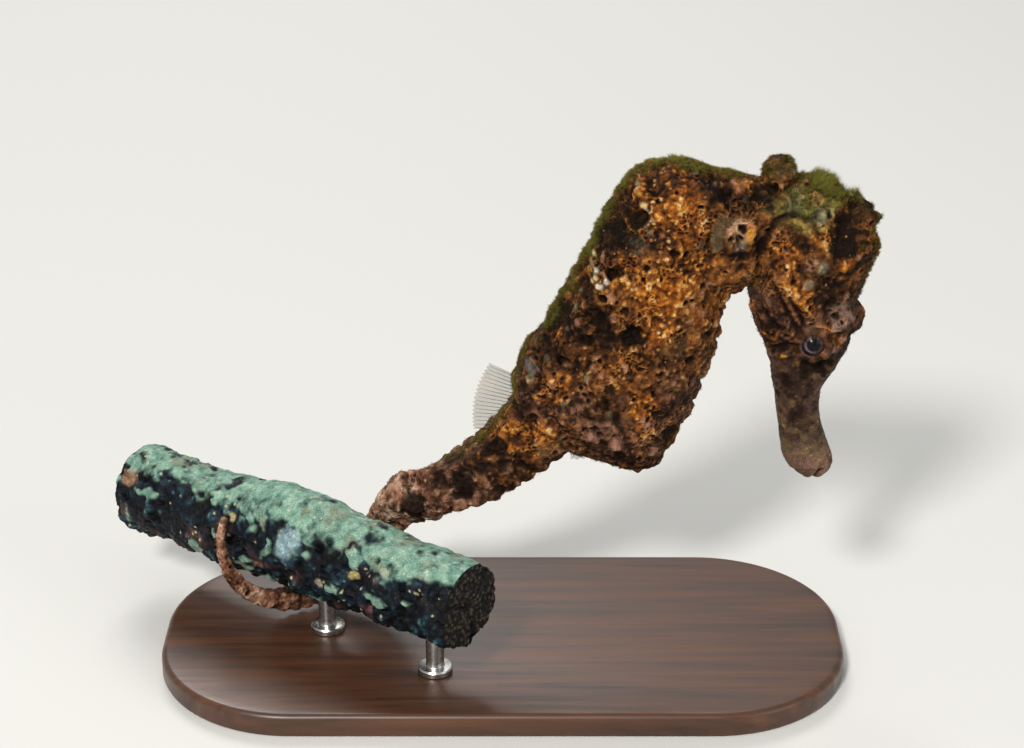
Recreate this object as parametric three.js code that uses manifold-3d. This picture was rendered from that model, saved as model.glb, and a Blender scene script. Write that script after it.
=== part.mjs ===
// A life-size still model of a seahorse that leans forward on its curled tail, with its head tucked down.
// Its tail grips a short cut length of overgrown rope, which two short rods hold over a flat display base.
// Millimetres, +Z up. The belly faces +X and the animal's left side faces +Y. The origin is the middle of
// the base's underside. The body is lofted along its bony rings: ring 0 is the shoulder, and RINGS_TRUNK
// the tail's root.

import * as THREE from "three";
import { mergeVertices } from "three/addons/utils/BufferGeometryUtils.js";
import Module from "manifold-3d";

const wasm = await Module();
wasm.setup();

// ---- Driving dimensions ----

const MEDIAN_Y = 1; // the animal's own plane of symmetry
const GAP = 0.3; // between pieces that touch
const RINGS_TRUNK = 11;
const RINGS_TAIL = 36;
const SIDES = 16; // corners of a body section, so that each long ridge falls on a corner
const FINE_TAIL = 12; // rings of the tail that are as finely cornered as the trunk

// The trunk and neck: where back and belly cross chosen rings, as [x, z], and half the width there.
const TRUNK_SECTIONS = [
  { ring: -4.0, back: [29.5, 54.2], belly: [30.0, 45.0], half: 3.2 },
  { ring: -3.0, back: [25.6, 55.3], belly: [27.2, 43.4], half: 3.9 },
  { ring: -2.0, back: [22.2, 56.1], belly: [25.3, 42.4], half: 4.3 },
  { ring: -1.0, back: [18.2, 57.0], belly: [23.8, 41.7], half: 4.6 },
  { ring: 0.0, back: [14.0, 56.5], belly: [23.3, 41.0], half: 4.9 },
  { ring: 1.5, back: [11.5, 54.0], belly: [23.0, 39.4], half: 5.2 },
  { ring: 3.0, back: [9.8, 50.7], belly: [22.6, 36.8], half: 5.4 },
  { ring: 4.5, back: [8.1, 47.2], belly: [21.7, 33.4], half: 5.5 },
  { ring: 6.0, back: [6.4, 43.7], belly: [20.4, 29.7], half: 5.6 },
  { ring: 7.5, back: [4.5, 40.1], belly: [18.4, 25.3], half: 5.4 },
  { ring: 8.7, back: [2.5, 37.4], belly: [16.2, 22.0], half: 5.2 },
  { ring: 9.5, back: [1.3, 35.4], belly: [13.6, 21.9], half: 4.9 },
  { ring: 10.2, back: [0.9, 33.6], belly: [10.5, 23.2], half: 4.6 },
  { ring: 11.0, back: [1.0, 31.3], belly: [7.5, 24.0], half: 4.3 },
];

// The head hangs snout down: the forehead faces +X. Stations run from the crown to the mouth.
const HEAD_SECTIONS = [
  { at: 0.0, brow: [35.0, 53.0], throat: [31.6, 54.6], half: 1.6 },
  { at: 1.0, brow: [36.3, 51.6], throat: [28.4, 53.8], half: 2.9 },
  { at: 2.0, brow: [37.9, 49.8], throat: [26.6, 51.3], half: 3.7 },
  { at: 3.0, brow: [38.9, 47.6], throat: [25.6, 48.0], half: 4.1 },
  { at: 4.0, brow: [38.1, 44.9], throat: [25.2, 44.8], half: 4.3 },
  { at: 5.0, brow: [37.3, 42.2], throat: [25.2, 41.8], half: 4.1 },
  { at: 6.0, brow: [36.9, 39.4], throat: [25.9, 39.0], half: 3.6 },
  { at: 7.0, brow: [36.3, 36.4], throat: [27.1, 36.6], half: 2.9 },
  { at: 8.0, brow: [34.9, 33.7], throat: [27.9, 34.2], half: 2.3 },
  { at: 9.0, brow: [33.7, 31.6], throat: [28.4, 31.6], half: 1.9 },
  { at: 10.0, brow: [33.5, 29.2], throat: [28.8, 29.0], half: 1.8 },
  { at: 11.0, brow: [34.1, 26.6], throat: [29.2, 26.4], half: 1.8 },
  { at: 12.0, brow: [35.1, 24.0], throat: [29.7, 23.8], half: 2.0 },
  { at: 13.0, brow: [35.2, 22.3], throat: [31.0, 21.9], half: 1.9 },
  { at: 13.6, brow: [34.0, 21.5], throat: [32.6, 21.2], half: 1.1 },
];
const HEAD_END = 13.6;
const SNOUT_STARTS = 8.0; // where the face becomes the snout

const EYE = { radius: 1.6, x: 32.0, z: 37.7, offMedian: 2.35 };
// Low bumps: over each eye, on the nose between them, and on the nape.
const BROW_BUMP = { x: 35.1, z: 40.2, offMedian: 2.3, radii: [1.6, 1.3, 1.9] };
const NOSE_BUMP = { x: 36.1, z: 39.7, offMedian: 0, radii: [1.8, 2.0, 2.3] };
const NAPE_BUMP = { x: 28.2, z: 54.7, offMedian: 0, radii: [2.0, 2.3, 2.8] };
const GILL_COVER = { x: 29.3, z: 46.0, offMedian: 4.2, radii: [2.9, 1.5, 4.7], lean: 0.2 };
// The coronet rises from the crown at an angle over level: [radius, height] up its side and over its rim.
const CORONET = {
  x: 35.9,
  z: 49.9,
  rise: 0.92,
  points: 5,
  profile: [[2.2, -1.4], [2.2, 0.6], [2.05, 1.5], [2.1, 2.4], [1.7, 2.65], [0.9, 2.1]],
  rimLevels: [3, 4],
  lobe: 0.05,
  rimLobe: 0.08,
  rimLift: 0.15,
};
// How far the body's bony frame stands out of its plain sections.
const TRUNK_RELIEF = { ring: 0.12, ridge: 0.18, knob: 0.42, inset: 0.25, wideBack: 0.2, square: 0.1 };
const TAIL_RELIEF = { inset: 0.93, ridge: 0.13, knob: 0.09, ring: 0.06, flatRoot: 0.04, rootRings: 3 };
// The cheeks are fullest on the throat side, and the forehead is a narrower ridge.
const CHEEKS = { full: 0.22, starts: [0.5, 2], ends: [6, 7.5], square: 0.07 };

// The rope, level, runs from behind on the left to in front on the right.
const ROPE = { radius: 5.0, x: -15.2, y: -2.5, z: 11.9, plan: -0.64, left: 33, right: 15 };
// Its three strands and uneven crust, as shares of its radius.
const STRANDS = { count: 3, twist: 0.13, inset: 0.95, depth: 0.035 };
const LUMPS = [{ size: 0.024, along: 0.37, around: 2 }, { size: 0.02, along: 0.9, around: -1 }];
// A mound of silt and growth along its top, beside the tail.
const CRUST = { height: 1.7, along: -8.5, spread: 7, angle: 0.1, width: 0.8 };
const TAIL_LENGTH = 65; // stations along it are counted to this; round the rope its path comes to 55 mm
const TAIL_RADIUS = { tip: 0.5, taper: 3.3, flare: 0.6, flareLength: 8 };
const TAIL_TURNS = [9, 24]; // between these lengths its back turns from the median plane to face off the rope
// Free stretch of the tail from its root, as [x, z] in the median plane.
const TAIL_FREE = [[4.3, 27.65], [1.5, 25.0], [-1.4, 22.5], [-4.6, 20.5], [-7.8, 19.0]];
// It meets the rope at touchAngle past its top and creeps along and under it, to end in front.
const TAIL_GRIP = {
  from: 18.5,
  touchAngle: 0.93,
  turn: 4.4,
  ease: 1.12,
  creep: 15,
  bend: 1.5,
  steps: 14,
  stoutest: 1.12, // of the tail's radius, at its ridges
  clear: 0.15,
};

const BASE = { length: 74, width: 35, height: 2.6, corner: 15, bevel: 0.5 };
const ROD = { radius: 1.0, socket: 1.3, stops: [-5, 10] };

// Each fin is a fan: its root's length, its rays' reach, half the angle they spread over, and how it stands.
const FINS = {
  thickness: 0.5,
  dorsal: {
    root: 6.4, reach: 4.6, spread: 0.22, rays: 14,
    out: [-0.9, 0, 0.2], along: [0.5, 0, 0.9], at: [1.2, 0, 29.6],
  },
  anal: {
    root: 1.4, reach: 2.6, spread: 0.3, rays: 4,
    out: [0.3, 0, -0.95], along: [1, 0, 0.3], at: [7.9, 0, 25.2],
  },
  pectoral: {
    root: 2.2, reach: 3.7, spread: 0.4, rays: 9,
    out: [-0.85, 0.5, 0.1], along: [0.1, 0, 1], at: [23.8, 3.9, 50.4],
  },
};

// ---- Small helpers ----

const smoothstep = THREE.MathUtils.smoothstep;
const vec = (x, y, z) => new THREE.Vector3(x, y, z);

// A smooth curve through (keys[i], values[i]), read at one key.
function through(keys, values, key) {
  const last = keys.length - 1;
  const slope = (i) => {
    const [a, b] = [Math.max(0, i - 1), Math.min(last, i + 1)];
    return (values[b] - values[a]) / (keys[b] - keys[a]);
  };
  let i = 0;
  while (i < last - 1 && key > keys[i + 1]) i++;
  const span = keys[i + 1] - keys[i];
  const t = THREE.MathUtils.clamp((key - keys[i]) / span, 0, 1);
  const [t2, t3] = [t * t, t * t * t];
  return (
    (2 * t3 - 3 * t2 + 1) * values[i] +
    (t3 - 2 * t2 + t) * span * slope(i) +
    (3 * t2 - 2 * t3) * values[i + 1] +
    (t3 - t2) * span * slope(i + 1)
  );
}

const even = (from, to, count) =>
  Array.from({ length: count + 1 }, (_, i) => from + ((to - from) * i) / count);

// A closed surface over rings of points, all with as many points, and a fan over either end.
function skinOver(rings) {
  const count = rings[0].length;
  const points = rings.flat();
  const middle = (ring) =>
    ring.reduce((sum, p) => sum.add(p), vec(0, 0, 0)).divideScalar(count);
  const [start, end] = [points.length, points.length + 1];
  const all = [...points, middle(rings[0]), middle(rings[rings.length - 1])];
  const index = [];
  for (let r = 0; r < rings.length - 1; r++)
    for (let i = 0; i < count; i++) {
      const [a, b] = [r * count + i, r * count + ((i + 1) % count)];
      index.push(a, b, a + count, b, b + count, a + count);
    }
  const lastRing = (rings.length - 1) * count;
  for (let i = 0; i < count; i++) {
    const next = (i + 1) % count;
    index.push(start, next, i);
    index.push(end, lastRing + i, lastRing + next);
  }
  const geometry = new THREE.BufferGeometry().setFromPoints(all);
  geometry.setIndex(index);
  return geometry;
}

// Any closed three.js geometry as a solid, turned the right way out.
function solid(geometry) {
  const bare = geometry.clone();
  bare.deleteAttribute("normal");
  bare.deleteAttribute("uv");
  const merged = mergeVertices(bare, 1e-4);
  const build = (triVerts) =>
    new wasm.Manifold(
      new wasm.Mesh({
        numProp: 3,
        vertProperties: merged.attributes.position.array,
        triVerts,
      }),
    );
  const made = build(new Uint32Array(merged.index.array));
  if (made.volume() > 0) return made;
  return build(new Uint32Array(merged.index.array).reverse());
}

function geometryOf(manifold) {
  const mesh = manifold.getMesh();
  const geometry = new THREE.BufferGeometry();
  const places = new Float32Array(mesh.numVert * 3);
  for (let i = 0; i < mesh.numVert; i++)
    places.set(mesh.vertProperties.subarray(i * mesh.numProp, i * mesh.numProp + 3), i * 3);
  geometry.setAttribute("position", new THREE.BufferAttribute(places, 3));
  geometry.setIndex(new THREE.BufferAttribute(new Uint32Array(mesh.triVerts), 1));
  geometry.computeVertexNormals();
  return geometry;
}

// Only the largest piece of a cut solid, so that slivers are dropped.
function largest(manifold) {
  return manifold.decompose().sort((a, b) => b.volume() - a.volume())[0];
}

// ---- The body's sections ----

// How far a ring stands up here: 1 on the middle of a ring, 0 in the groove between two.
const ribAt = (ring) => Math.abs(Math.sin(Math.PI * ring)) ** 0.7;

// How near an angle from the back is to one of the long ridges: 1 on the ridge, 0 halfway between two.
function ridgeAt(angle, onTail) {
  const eighth = Math.round(angle / (Math.PI / 4)) & 7;
  const off = Math.abs(angle / (Math.PI / 4) - Math.round(angle / (Math.PI / 4)));
  const strength = onTail ? (eighth % 2 === 1 ? 1 : 0) : eighth === 0 ? 0 : 1;
  return strength * (1 - 2 * off);
}

// One section of the trunk or neck at a ring, grown outwards by some millimetres.
function trunkSection(at, grow = 0) {
  const keys = TRUNK_SECTIONS.map((s) => s.ring);
  const read = (pick) => through(keys, TRUNK_SECTIONS.map(pick), at);
  const back = vec(read((s) => s.back[0]), MEDIAN_Y, read((s) => s.back[1]));
  const belly = vec(read((s) => s.belly[0]), MEDIAN_Y, read((s) => s.belly[1]));
  const middle = back.clone().add(belly).multiplyScalar(0.5);
  const up = back.clone().sub(middle);
  const halfDepth = up.length();
  up.normalize();
  const halfWidth = read((s) => s.half);
  const rib = ribAt(at);
  return even(0, SIDES - 1, SIDES - 1).map((i) => {
    const angle = (2 * Math.PI * i) / SIDES;
    const [c, s] = [Math.cos(angle), Math.sin(angle)];
    const { ring, ridge, knob, inset, wideBack, square } = TRUNK_RELIEF;
    const bump = ring * rib + ridgeAt(angle, false) * (ridge + knob * rib) - inset;
    const wide = s * (1 + wideBack * c) * (1 + square * Math.abs(Math.sin(2 * angle)));
    return middle
      .clone()
      .addScaledVector(up, c * (halfDepth + bump + grow))
      .addScaledVector(vec(0, 1, 0), wide * (halfWidth + bump + grow));
  });
}

// ---- The tail ----

const ropeAlong = vec(Math.cos(ROPE.plan), Math.sin(ROPE.plan), 0);
const ropeAside = vec(-Math.sin(ROPE.plan), Math.cos(ROPE.plan), 0);
const ropePoint = (along) =>
  vec(ROPE.x, ROPE.y, ROPE.z).addScaledVector(ropeAlong, along);
const tailRadius = (s) =>
  TAIL_RADIUS.tip +
  TAIL_RADIUS.taper * (1 - s / TAIL_LENGTH) +
  TAIL_RADIUS.flare * Math.exp(-s / TAIL_RADIUS.flareLength);

// Straight out of the rope's axis, at an angle past its top towards the back.
const outOfRope = (angle) =>
  vec(0, 0, Math.cos(angle)).addScaledVector(ropeAside, Math.sin(angle));

function tailCurve() {
  const free = TAIL_FREE.map(([x, z]) => vec(x, MEDIAN_Y, z));
  const grip = even(0, 1, TAIL_GRIP.steps).map((t) => {
    const s = TAIL_GRIP.from + (TAIL_LENGTH - TAIL_GRIP.from) * t;
    const angle = TAIL_GRIP.touchAngle + TAIL_GRIP.turn * t ** TAIL_GRIP.ease;
    const along = -TAIL_GRIP.creep * (1 - (1 - t) ** TAIL_GRIP.bend);
    const reach = ROPE.radius + GAP + TAIL_GRIP.stoutest * tailRadius(s) + TAIL_GRIP.clear;
    return ropePoint(along).addScaledVector(outOfRope(angle), reach);
  });
  return new THREE.CatmullRomCurve3([...free, ...grip], false, "centripetal");
}
const tailPath = tailCurve();
tailPath.arcLengthDivisions = 800;
const tailPathLength = tailPath.getLength();

// The tail's frame at a length s from its root: place, direction, back and left.
function tailFrame(s) {
  const share = s / TAIL_LENGTH;
  const place = tailPath.getPointAt(share);
  const ahead = tailPath.getTangentAt(share);
  const inPlane = vec(ahead.z, 0, -ahead.x);
  const axis = place.clone().sub(ropePoint(0));
  const outward = axis.addScaledVector(ropeAlong, -axis.dot(ropeAlong)).normalize();
  const back = inPlane.lerp(outward, smoothstep(s, ...TAIL_TURNS));
  back.addScaledVector(ahead, -back.dot(ahead)).normalize();
  return { place, ahead, back, left: ahead.clone().cross(back) };
}

// Rings shorten evenly towards the tip.
const RING_SHORTENING = 0.45;
function tailRingStart(ring) {
  const share = ring / RINGS_TAIL;
  return (TAIL_LENGTH * share * (1 - RING_SHORTENING * share * 0.5)) / (1 - RING_SHORTENING * 0.5);
}

function tailSection(ring, sides, grow = 0) {
  const s = tailRingStart(ring);
  const { place, back, left } = tailFrame(Math.min(s, TAIL_LENGTH));
  const radius = tailRadius(s);
  const rib = ribAt(ring);
  const root = 1 - smoothstep(ring, 0, TAIL_RELIEF.rootRings);
  return even(0, sides - 1, sides - 1).map((i) => {
    const angle = (2 * Math.PI * i) / sides;
    const ridge = ridgeAt(angle, true);
    const stout = TAIL_RELIEF.inset + ridge * (TAIL_RELIEF.ridge + TAIL_RELIEF.knob * rib);
    const size = radius * stout + TAIL_RELIEF.ring * rib + grow;
    return place
      .clone()
      .addScaledVector(back, Math.cos(angle) * size)
      .addScaledVector(left, Math.sin(angle) * size * (1 - TAIL_RELIEF.flatRoot * root));
  });
}

// ---- The head ----

function headSection(at, grow = 0) {
  const keys = HEAD_SECTIONS.map((s) => s.at);
  const read = (pick) => through(keys, HEAD_SECTIONS.map(pick), at);
  const brow = vec(read((s) => s.brow[0]), MEDIAN_Y, read((s) => s.brow[1]));
  const throat = vec(read((s) => s.throat[0]), MEDIAN_Y, read((s) => s.throat[1]));
  const middle = brow.clone().add(throat).multiplyScalar(0.5);
  const out = brow.clone().sub(middle);
  const halfDepth = out.length() + grow;
  out.normalize();
  const halfWidth = read((s) => s.half) + grow;
  const full = CHEEKS.full * smoothstep(at, ...CHEEKS.starts) * (1 - smoothstep(at, ...CHEEKS.ends));
  const count = SIDES + 4;
  return even(0, count - 1, count - 1).map((i) => {
    const angle = (2 * Math.PI * i) / count;
    const [c, s] = [Math.cos(angle), Math.sin(angle)];
    const square = 1 + CHEEKS.square * Math.sin(2 * angle) ** 2;
    return middle
      .clone()
      .addScaledVector(out, c * halfDepth * square)
      .addScaledVector(vec(0, 1, 0), s * (1 - full * c) * halfWidth * square);
  });
}

const headLoft = (from, to, steps, grow = 0) =>
  solid(skinOver(even(from, to, steps).map((at) => headSection(at, grow))));

function ball(radius, x, y, z, stretch = [1, 1, 1], turnY = 0, detail = 20) {
  const geometry = new THREE.SphereGeometry(radius, detail, Math.round(detail * 0.7));
  geometry.scale(...stretch).rotateY(turnY).translate(x, y, z);
  return solid(geometry);
}

// A low crown: a ring of blunt points round a shallow cup.
function coronetSolid() {
  const count = 4 * CORONET.points;
  const rings = CORONET.profile.map(([radius, height], level) =>
    even(0, count - 1, count - 1).map((i) => {
      const angle = (2 * Math.PI * i) / count;
      const point = Math.cos(CORONET.points * angle);
      const onRim = CORONET.rimLevels.includes(level);
      const lift = onRim ? CORONET.rimLift * point : 0;
      const r = radius * (1 + (onRim ? CORONET.rimLobe : CORONET.lobe) * point);
      return vec(r * Math.cos(angle), r * Math.sin(angle), height + lift);
    }),
  );
  const geometry = skinOver(rings);
  geometry.rotateY(Math.PI / 2 - CORONET.rise);
  geometry.translate(CORONET.x, MEDIAN_Y, CORONET.z);
  return solid(geometry);
}

// ---- The fins: thin fans ----

// A fan in its own XY plane: its root runs along Y from 0, its rays spread towards +X with a scalloped edge.
function fanSolid({ root, reach, spread, rays, thickness, place }) {
  const edge = even(0, 1, rays * 2).map((t) => {
    const angle = (t - 0.5) * 2 * spread;
    const far = reach * (0.86 + 0.14 * Math.sin(Math.PI * t)) * (t * rays * 2 % 2 ? 1 : 0.96);
    const from = (t - 0.5) * root;
    return new THREE.Vector2(far * Math.cos(angle), from + far * Math.sin(angle));
  });
  const outline = [new THREE.Vector2(0, -root / 2), ...edge, new THREE.Vector2(0, root / 2)];
  const geometry = new THREE.ExtrudeGeometry(new THREE.Shape(outline), {
    depth: thickness,
    bevelEnabled: false,
  });
  geometry.translate(0, 0, -thickness / 2);
  geometry.applyMatrix4(place);
  return solid(geometry);
}

// A matrix whose X, Y and Z axes are these directions, at this place.
function placed(x, y, at) {
  const [ax, ay] = [x.clone().normalize(), y.clone()];
  ay.addScaledVector(ax, -ay.dot(ax)).normalize();
  return new THREE.Matrix4().makeBasis(ax, ay, ax.clone().cross(ay)).setPosition(at);
}

// ---- The rope and the stand ----

const ROPE_CRUST = 0.5; // from the crust's underside to where a rod's socket begins

// Three strands laid together under a lumpy crust, with cut ends.
function ropeSolid() {
  const count = 20;
  const rings = even(-ROPE.left, ROPE.right, count).map((along) =>
    even(0, count - 1, count - 1).map((i) => {
      const angle = (2 * Math.PI * i) / count;
      const strand = STRANDS.depth * Math.cos(STRANDS.count * (angle - along * STRANDS.twist));
      const crust = LUMPS.reduce((sum, l) => sum + l.size * Math.sin(l.along * along + l.around * angle), 0);
      const around = (angle - CRUST.angle + Math.PI) % (2 * Math.PI) - Math.PI;
      const mound = Math.exp(-(((along - CRUST.along) / CRUST.spread) ** 2) - (around / CRUST.width) ** 2);
      const radius = ROPE.radius * (STRANDS.inset + strand + crust) + CRUST.height * mound;
      return ropePoint(along).addScaledVector(outOfRope(angle), radius);
    }),
  );
  return solid(skinOver(rings));
}

function rodSolid(stop, grow = 0) {
  const bottom = BASE.height - ROD.socket - grow;
  const top = ROPE.z - ROPE.radius + ROPE_CRUST + ROD.socket + grow;
  const geometry = new THREE.CylinderGeometry(ROD.radius + grow, ROD.radius + grow, top - bottom, 20);
  geometry.rotateX(Math.PI / 2);
  const at = ropePoint(stop);
  geometry.translate(at.x, at.y, (top + bottom) / 2);
  return solid(geometry);
}

function baseSolid() {
  const inset = BASE.bevel;
  const [halfX, halfY, r] = [BASE.length / 2 - inset, BASE.width / 2 - inset, BASE.corner - inset];
  const outline = new THREE.Shape();
  outline.absarc(halfX - r, halfY - r, r, 0, Math.PI / 2);
  outline.absarc(-halfX + r, halfY - r, r, Math.PI / 2, Math.PI);
  outline.absarc(-halfX + r, -halfY + r, r, Math.PI, 1.5 * Math.PI);
  outline.absarc(halfX - r, -halfY + r, r, 1.5 * Math.PI, 2 * Math.PI);
  const geometry = new THREE.ExtrudeGeometry(outline, {
    depth: BASE.height - 2 * BASE.bevel,
    bevelThickness: BASE.bevel,
    bevelSize: BASE.bevel,
    bevelSegments: 1,
    curveSegments: 6,
  });
  geometry.translate(0, 0, BASE.bevel);
  return solid(geometry);
}

// ---- Putting it together ----

const group = new THREE.Group();
const colours = {
  skin: [0x6b4226, 0.85],
  eye: [0x1c1410, 0.2],
  fin: [0x8a6a48, 0.6],
  rope: [0x2b3236, 0.9],
  stand: [0x33302d, 0.5],
  rod: [0xb8b8b4, 0.3],
};

function add(name, manifold, look) {
  const [color, roughness] = colours[look];
  const metalness = look === "rod" ? 1 : 0;
  const material = new THREE.MeshStandardMaterial({ color, roughness, metalness });
  const mesh = new THREE.Mesh(geometryOf(largest(manifold)), material);
  mesh.name = name;
  group.add(mesh);
}

// The head and what stands out of it.
const SIGNS = [["left", 1], ["right", -1]];
const eye = (sign, grow) =>
  ball(EYE.radius + grow, EYE.x, MEDIAN_Y + sign * EYE.offMedian, EYE.z, [1, 1, 1], 0, 14);
const bump = (at, sign, grow, lean = 0, detail = 10) =>
  ball(1, at.x, MEDIAN_Y + sign * at.offMedian, at.z, at.radii.map((r) => r + grow), lean, detail);
const gill = (sign, grow) => bump(GILL_COVER, sign, grow, GILL_COVER.lean, 14);

const SLICE = 0.055; // half the thin cut between two pieces, in stations or rings
const COVER_STANDS = 0.35; // how far the gill covers stand out of the cheeks
const headGrown = headLoft(0, HEAD_END, 27, GAP);
const outerHead = headLoft(0, HEAD_END, 27, COVER_STANDS);
let head = headLoft(0, SNOUT_STARTS - SLICE, 16);
head = head.add(bump(NAPE_BUMP, 0, 0)).add(bump(NOSE_BUMP, 0, 0));
for (const [, sign] of SIGNS) head = head.add(bump(BROW_BUMP, sign, 0));
for (const [side, sign] of SIGNS) {
  head = head.subtract(eye(sign, GAP)).subtract(gill(sign, GAP));
  add("eye_" + side, eye(sign, 0), "eye");
  add("gill_cover_" + side, outerHead.intersect(gill(sign, 0)).subtract(eye(sign, GAP)), "skin");
}
add("head", head, "skin");
add("snout", headLoft(SNOUT_STARTS + SLICE, HEAD_END, 13), "skin");
add("coronet", coronetSolid().subtract(headGrown), "skin");

// Neck and trunk, each a loft between two rings with a thin cut before the next piece.
const trunkLoft = (from, to, perRing = 4, grow = 0) =>
  solid(skinOver(even(from, to, Math.round((to - from) * perRing)).map((q) => trunkSection(q, grow))));
const headAndNape = headGrown.add(bump(NAPE_BUMP, 0, GAP));
add("neck", trunkLoft(-4, 0 - SLICE).subtract(headAndNape), "skin");
add("trunk_upper", trunkLoft(0 + SLICE, 6 - SLICE).subtract(headGrown), "skin");
add("trunk_lower", trunkLoft(6 + SLICE, RINGS_TRUNK - SLICE), "skin");

const TAIL_SLICE = 0.07;

// The tail in five lengths, each between two of its rings.
function tailLoft(from, to, grow = 0) {
  const corners = to > FINE_TAIL ? SIDES / 2 : SIDES;
  const stations = even(from, to, Math.round((to - from) * 2));
  return solid(skinOver(stations.map((q) => tailSection(q, corners, grow))));
}
const TAIL_LENGTHS = [
  ["tail_root", 0, 6],
  ["tail_upper", 6, 12],
  ["tail_middle", 12, 19],
  ["tail_lower", 19, 27],
  ["tail_tip", 27, RINGS_TAIL],
];
const trunkEnd = trunkLoft(9, RINGS_TRUNK, 4, GAP);
for (const [name, from, to] of TAIL_LENGTHS) {
  const length = tailLoft(from + TAIL_SLICE, to < RINGS_TAIL ? to - TAIL_SLICE : to);
  add(name, from === 0 ? length.subtract(trunkEnd) : length, "skin");
}

// Fins. Each is cut back from the body that it grows out of.
const bodyGrown = trunkLoft(-4, RINGS_TRUNK, 4, GAP).add(tailLoft(0, 8, GAP)).add(headGrown);
function addFin(name, fin, sign) {
  const [x, y, z] = fin.at;
  const [ox, oy, oz] = fin.out;
  const place = placed(vec(ox, sign * oy, oz), vec(...fin.along), vec(x, MEDIAN_Y + sign * y, z));
  const fan = fanSolid({ ...fin, thickness: FINS.thickness, place });
  add(name, fan.subtract(bodyGrown), "fin");
}
addFin("fin_dorsal", FINS.dorsal, 1);
addFin("fin_anal", FINS.anal, 1);
for (const [side, sign] of SIGNS) addFin("fin_pectoral_" + side, FINS.pectoral, sign);

// The rope and the stand.
let rope = ropeSolid();
let base = baseSolid();
ROD.stops.forEach((stop, i) => {
  rope = rope.subtract(rodSolid(stop, GAP));
  base = base.subtract(rodSolid(stop, GAP));
  add("stand_rod_" + ["left", "right"][i], rodSolid(stop), "rod");
});
add("perch_rope", rope, "rope");
add("stand_base", base, "stand");

export default group;
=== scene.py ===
"""Looks of a life-size still model of a seahorse that grips a short length of rope on a stand.

Shapes are worked out in millimetres in the CAD part's own frame: +Z up, the belly and forehead face
+X, the animal's left side faces +Y. They turn into metres as each mesh is made.
"""

import math
from itertools import product

import bpy
import numpy as np
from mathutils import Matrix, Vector
from mathutils.kdtree import KDTree


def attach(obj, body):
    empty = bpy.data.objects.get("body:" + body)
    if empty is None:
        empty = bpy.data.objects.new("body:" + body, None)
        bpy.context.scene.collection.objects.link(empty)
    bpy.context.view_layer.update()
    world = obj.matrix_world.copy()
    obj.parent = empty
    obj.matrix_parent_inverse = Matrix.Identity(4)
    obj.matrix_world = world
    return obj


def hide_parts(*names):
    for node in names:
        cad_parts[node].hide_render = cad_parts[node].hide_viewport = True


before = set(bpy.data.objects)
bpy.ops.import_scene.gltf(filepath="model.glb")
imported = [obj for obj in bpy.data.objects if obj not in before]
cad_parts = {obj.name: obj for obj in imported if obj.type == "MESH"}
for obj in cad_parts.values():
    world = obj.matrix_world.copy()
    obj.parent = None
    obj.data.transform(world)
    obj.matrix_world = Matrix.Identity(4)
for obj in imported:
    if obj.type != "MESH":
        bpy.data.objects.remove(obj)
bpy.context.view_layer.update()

MM = 0.001
TURN = 2 * math.pi
RANDOM = np.random.default_rng(7)

# ---- The body's own sizes, as in the CAD part ----

MEDIAN = 1.0  # Y of the animal's plane of symmetry
COAT = 0.36  # how deep the skin lies inside the solid
TRUNK_START, TRUNK_END = -4.0, 11.0
TAIL_END = 36.0
HEAD_END = 13.6

# ring, back x and z, belly x and z, half width
TRUNK = np.array([
    (-4.0, 29.5, 54.2, 30.0, 45.0, 3.2),
    (-3.0, 25.6, 55.3, 27.2, 43.4, 3.9),
    (-2.0, 22.2, 56.1, 25.3, 42.4, 4.3),
    (-1.0, 18.2, 57.0, 23.8, 41.7, 4.6),
    (0.0, 14.0, 56.5, 23.3, 41.0, 4.9),
    (1.5, 11.5, 54.0, 23.0, 39.4, 5.2),
    (3.0, 9.8, 50.7, 22.6, 36.8, 5.4),
    (4.5, 8.1, 47.2, 21.7, 33.4, 5.5),
    (6.0, 6.4, 43.7, 20.4, 29.7, 5.6),
    (7.5, 4.5, 40.1, 18.4, 25.3, 5.4),
    (8.7, 2.5, 37.4, 16.2, 22.0, 5.2),
    (9.5, 1.3, 35.4, 13.6, 21.9, 4.9),
    (10.2, 0.9, 33.6, 10.5, 23.2, 4.6),
    (11.0, 1.0, 31.3, 7.5, 24.0, 4.3),
])
# station from the crown to the mouth, brow x and z, throat x and z, half width
HEAD = np.array([
    (0.0, 35.0, 53.0, 31.6, 54.6, 1.6),
    (1.0, 36.3, 51.6, 28.4, 53.8, 2.9),
    (2.0, 37.9, 49.8, 26.6, 51.3, 3.7),
    (3.0, 38.9, 47.6, 25.6, 48.0, 4.1),
    (4.0, 38.1, 44.9, 25.2, 44.8, 4.3),
    (5.0, 37.3, 42.2, 25.2, 41.8, 4.1),
    (6.0, 36.9, 39.4, 25.9, 39.0, 3.6),
    (7.0, 36.3, 36.4, 27.1, 36.6, 2.9),
    (8.0, 34.9, 33.7, 27.9, 34.2, 2.3),
    (9.0, 33.7, 31.6, 28.4, 31.6, 1.9),
    (10.0, 33.5, 29.2, 28.8, 29.0, 1.8),
    (11.0, 34.1, 26.6, 29.2, 26.4, 1.8),
    (12.0, 35.1, 24.0, 29.7, 23.8, 2.0),
    (13.0, 35.2, 22.3, 31.0, 21.9, 1.9),
    (13.6, 34.0, 21.5, 32.6, 21.2, 1.1),
])
EYE = {"radius": 1.6, "x": 32.0, "z": 37.7, "off": 2.35}
# x, z, distance from the median plane, radii
BUMPS = {
    "brow": (35.1, 40.2, 2.3, (1.6, 1.3, 1.9)),
    "nose": (36.1, 39.7, 0.0, (1.8, 2.0, 2.3)),
    "nape": (28.2, 54.7, 0.0, (2.0, 2.3, 2.8)),
}
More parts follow.
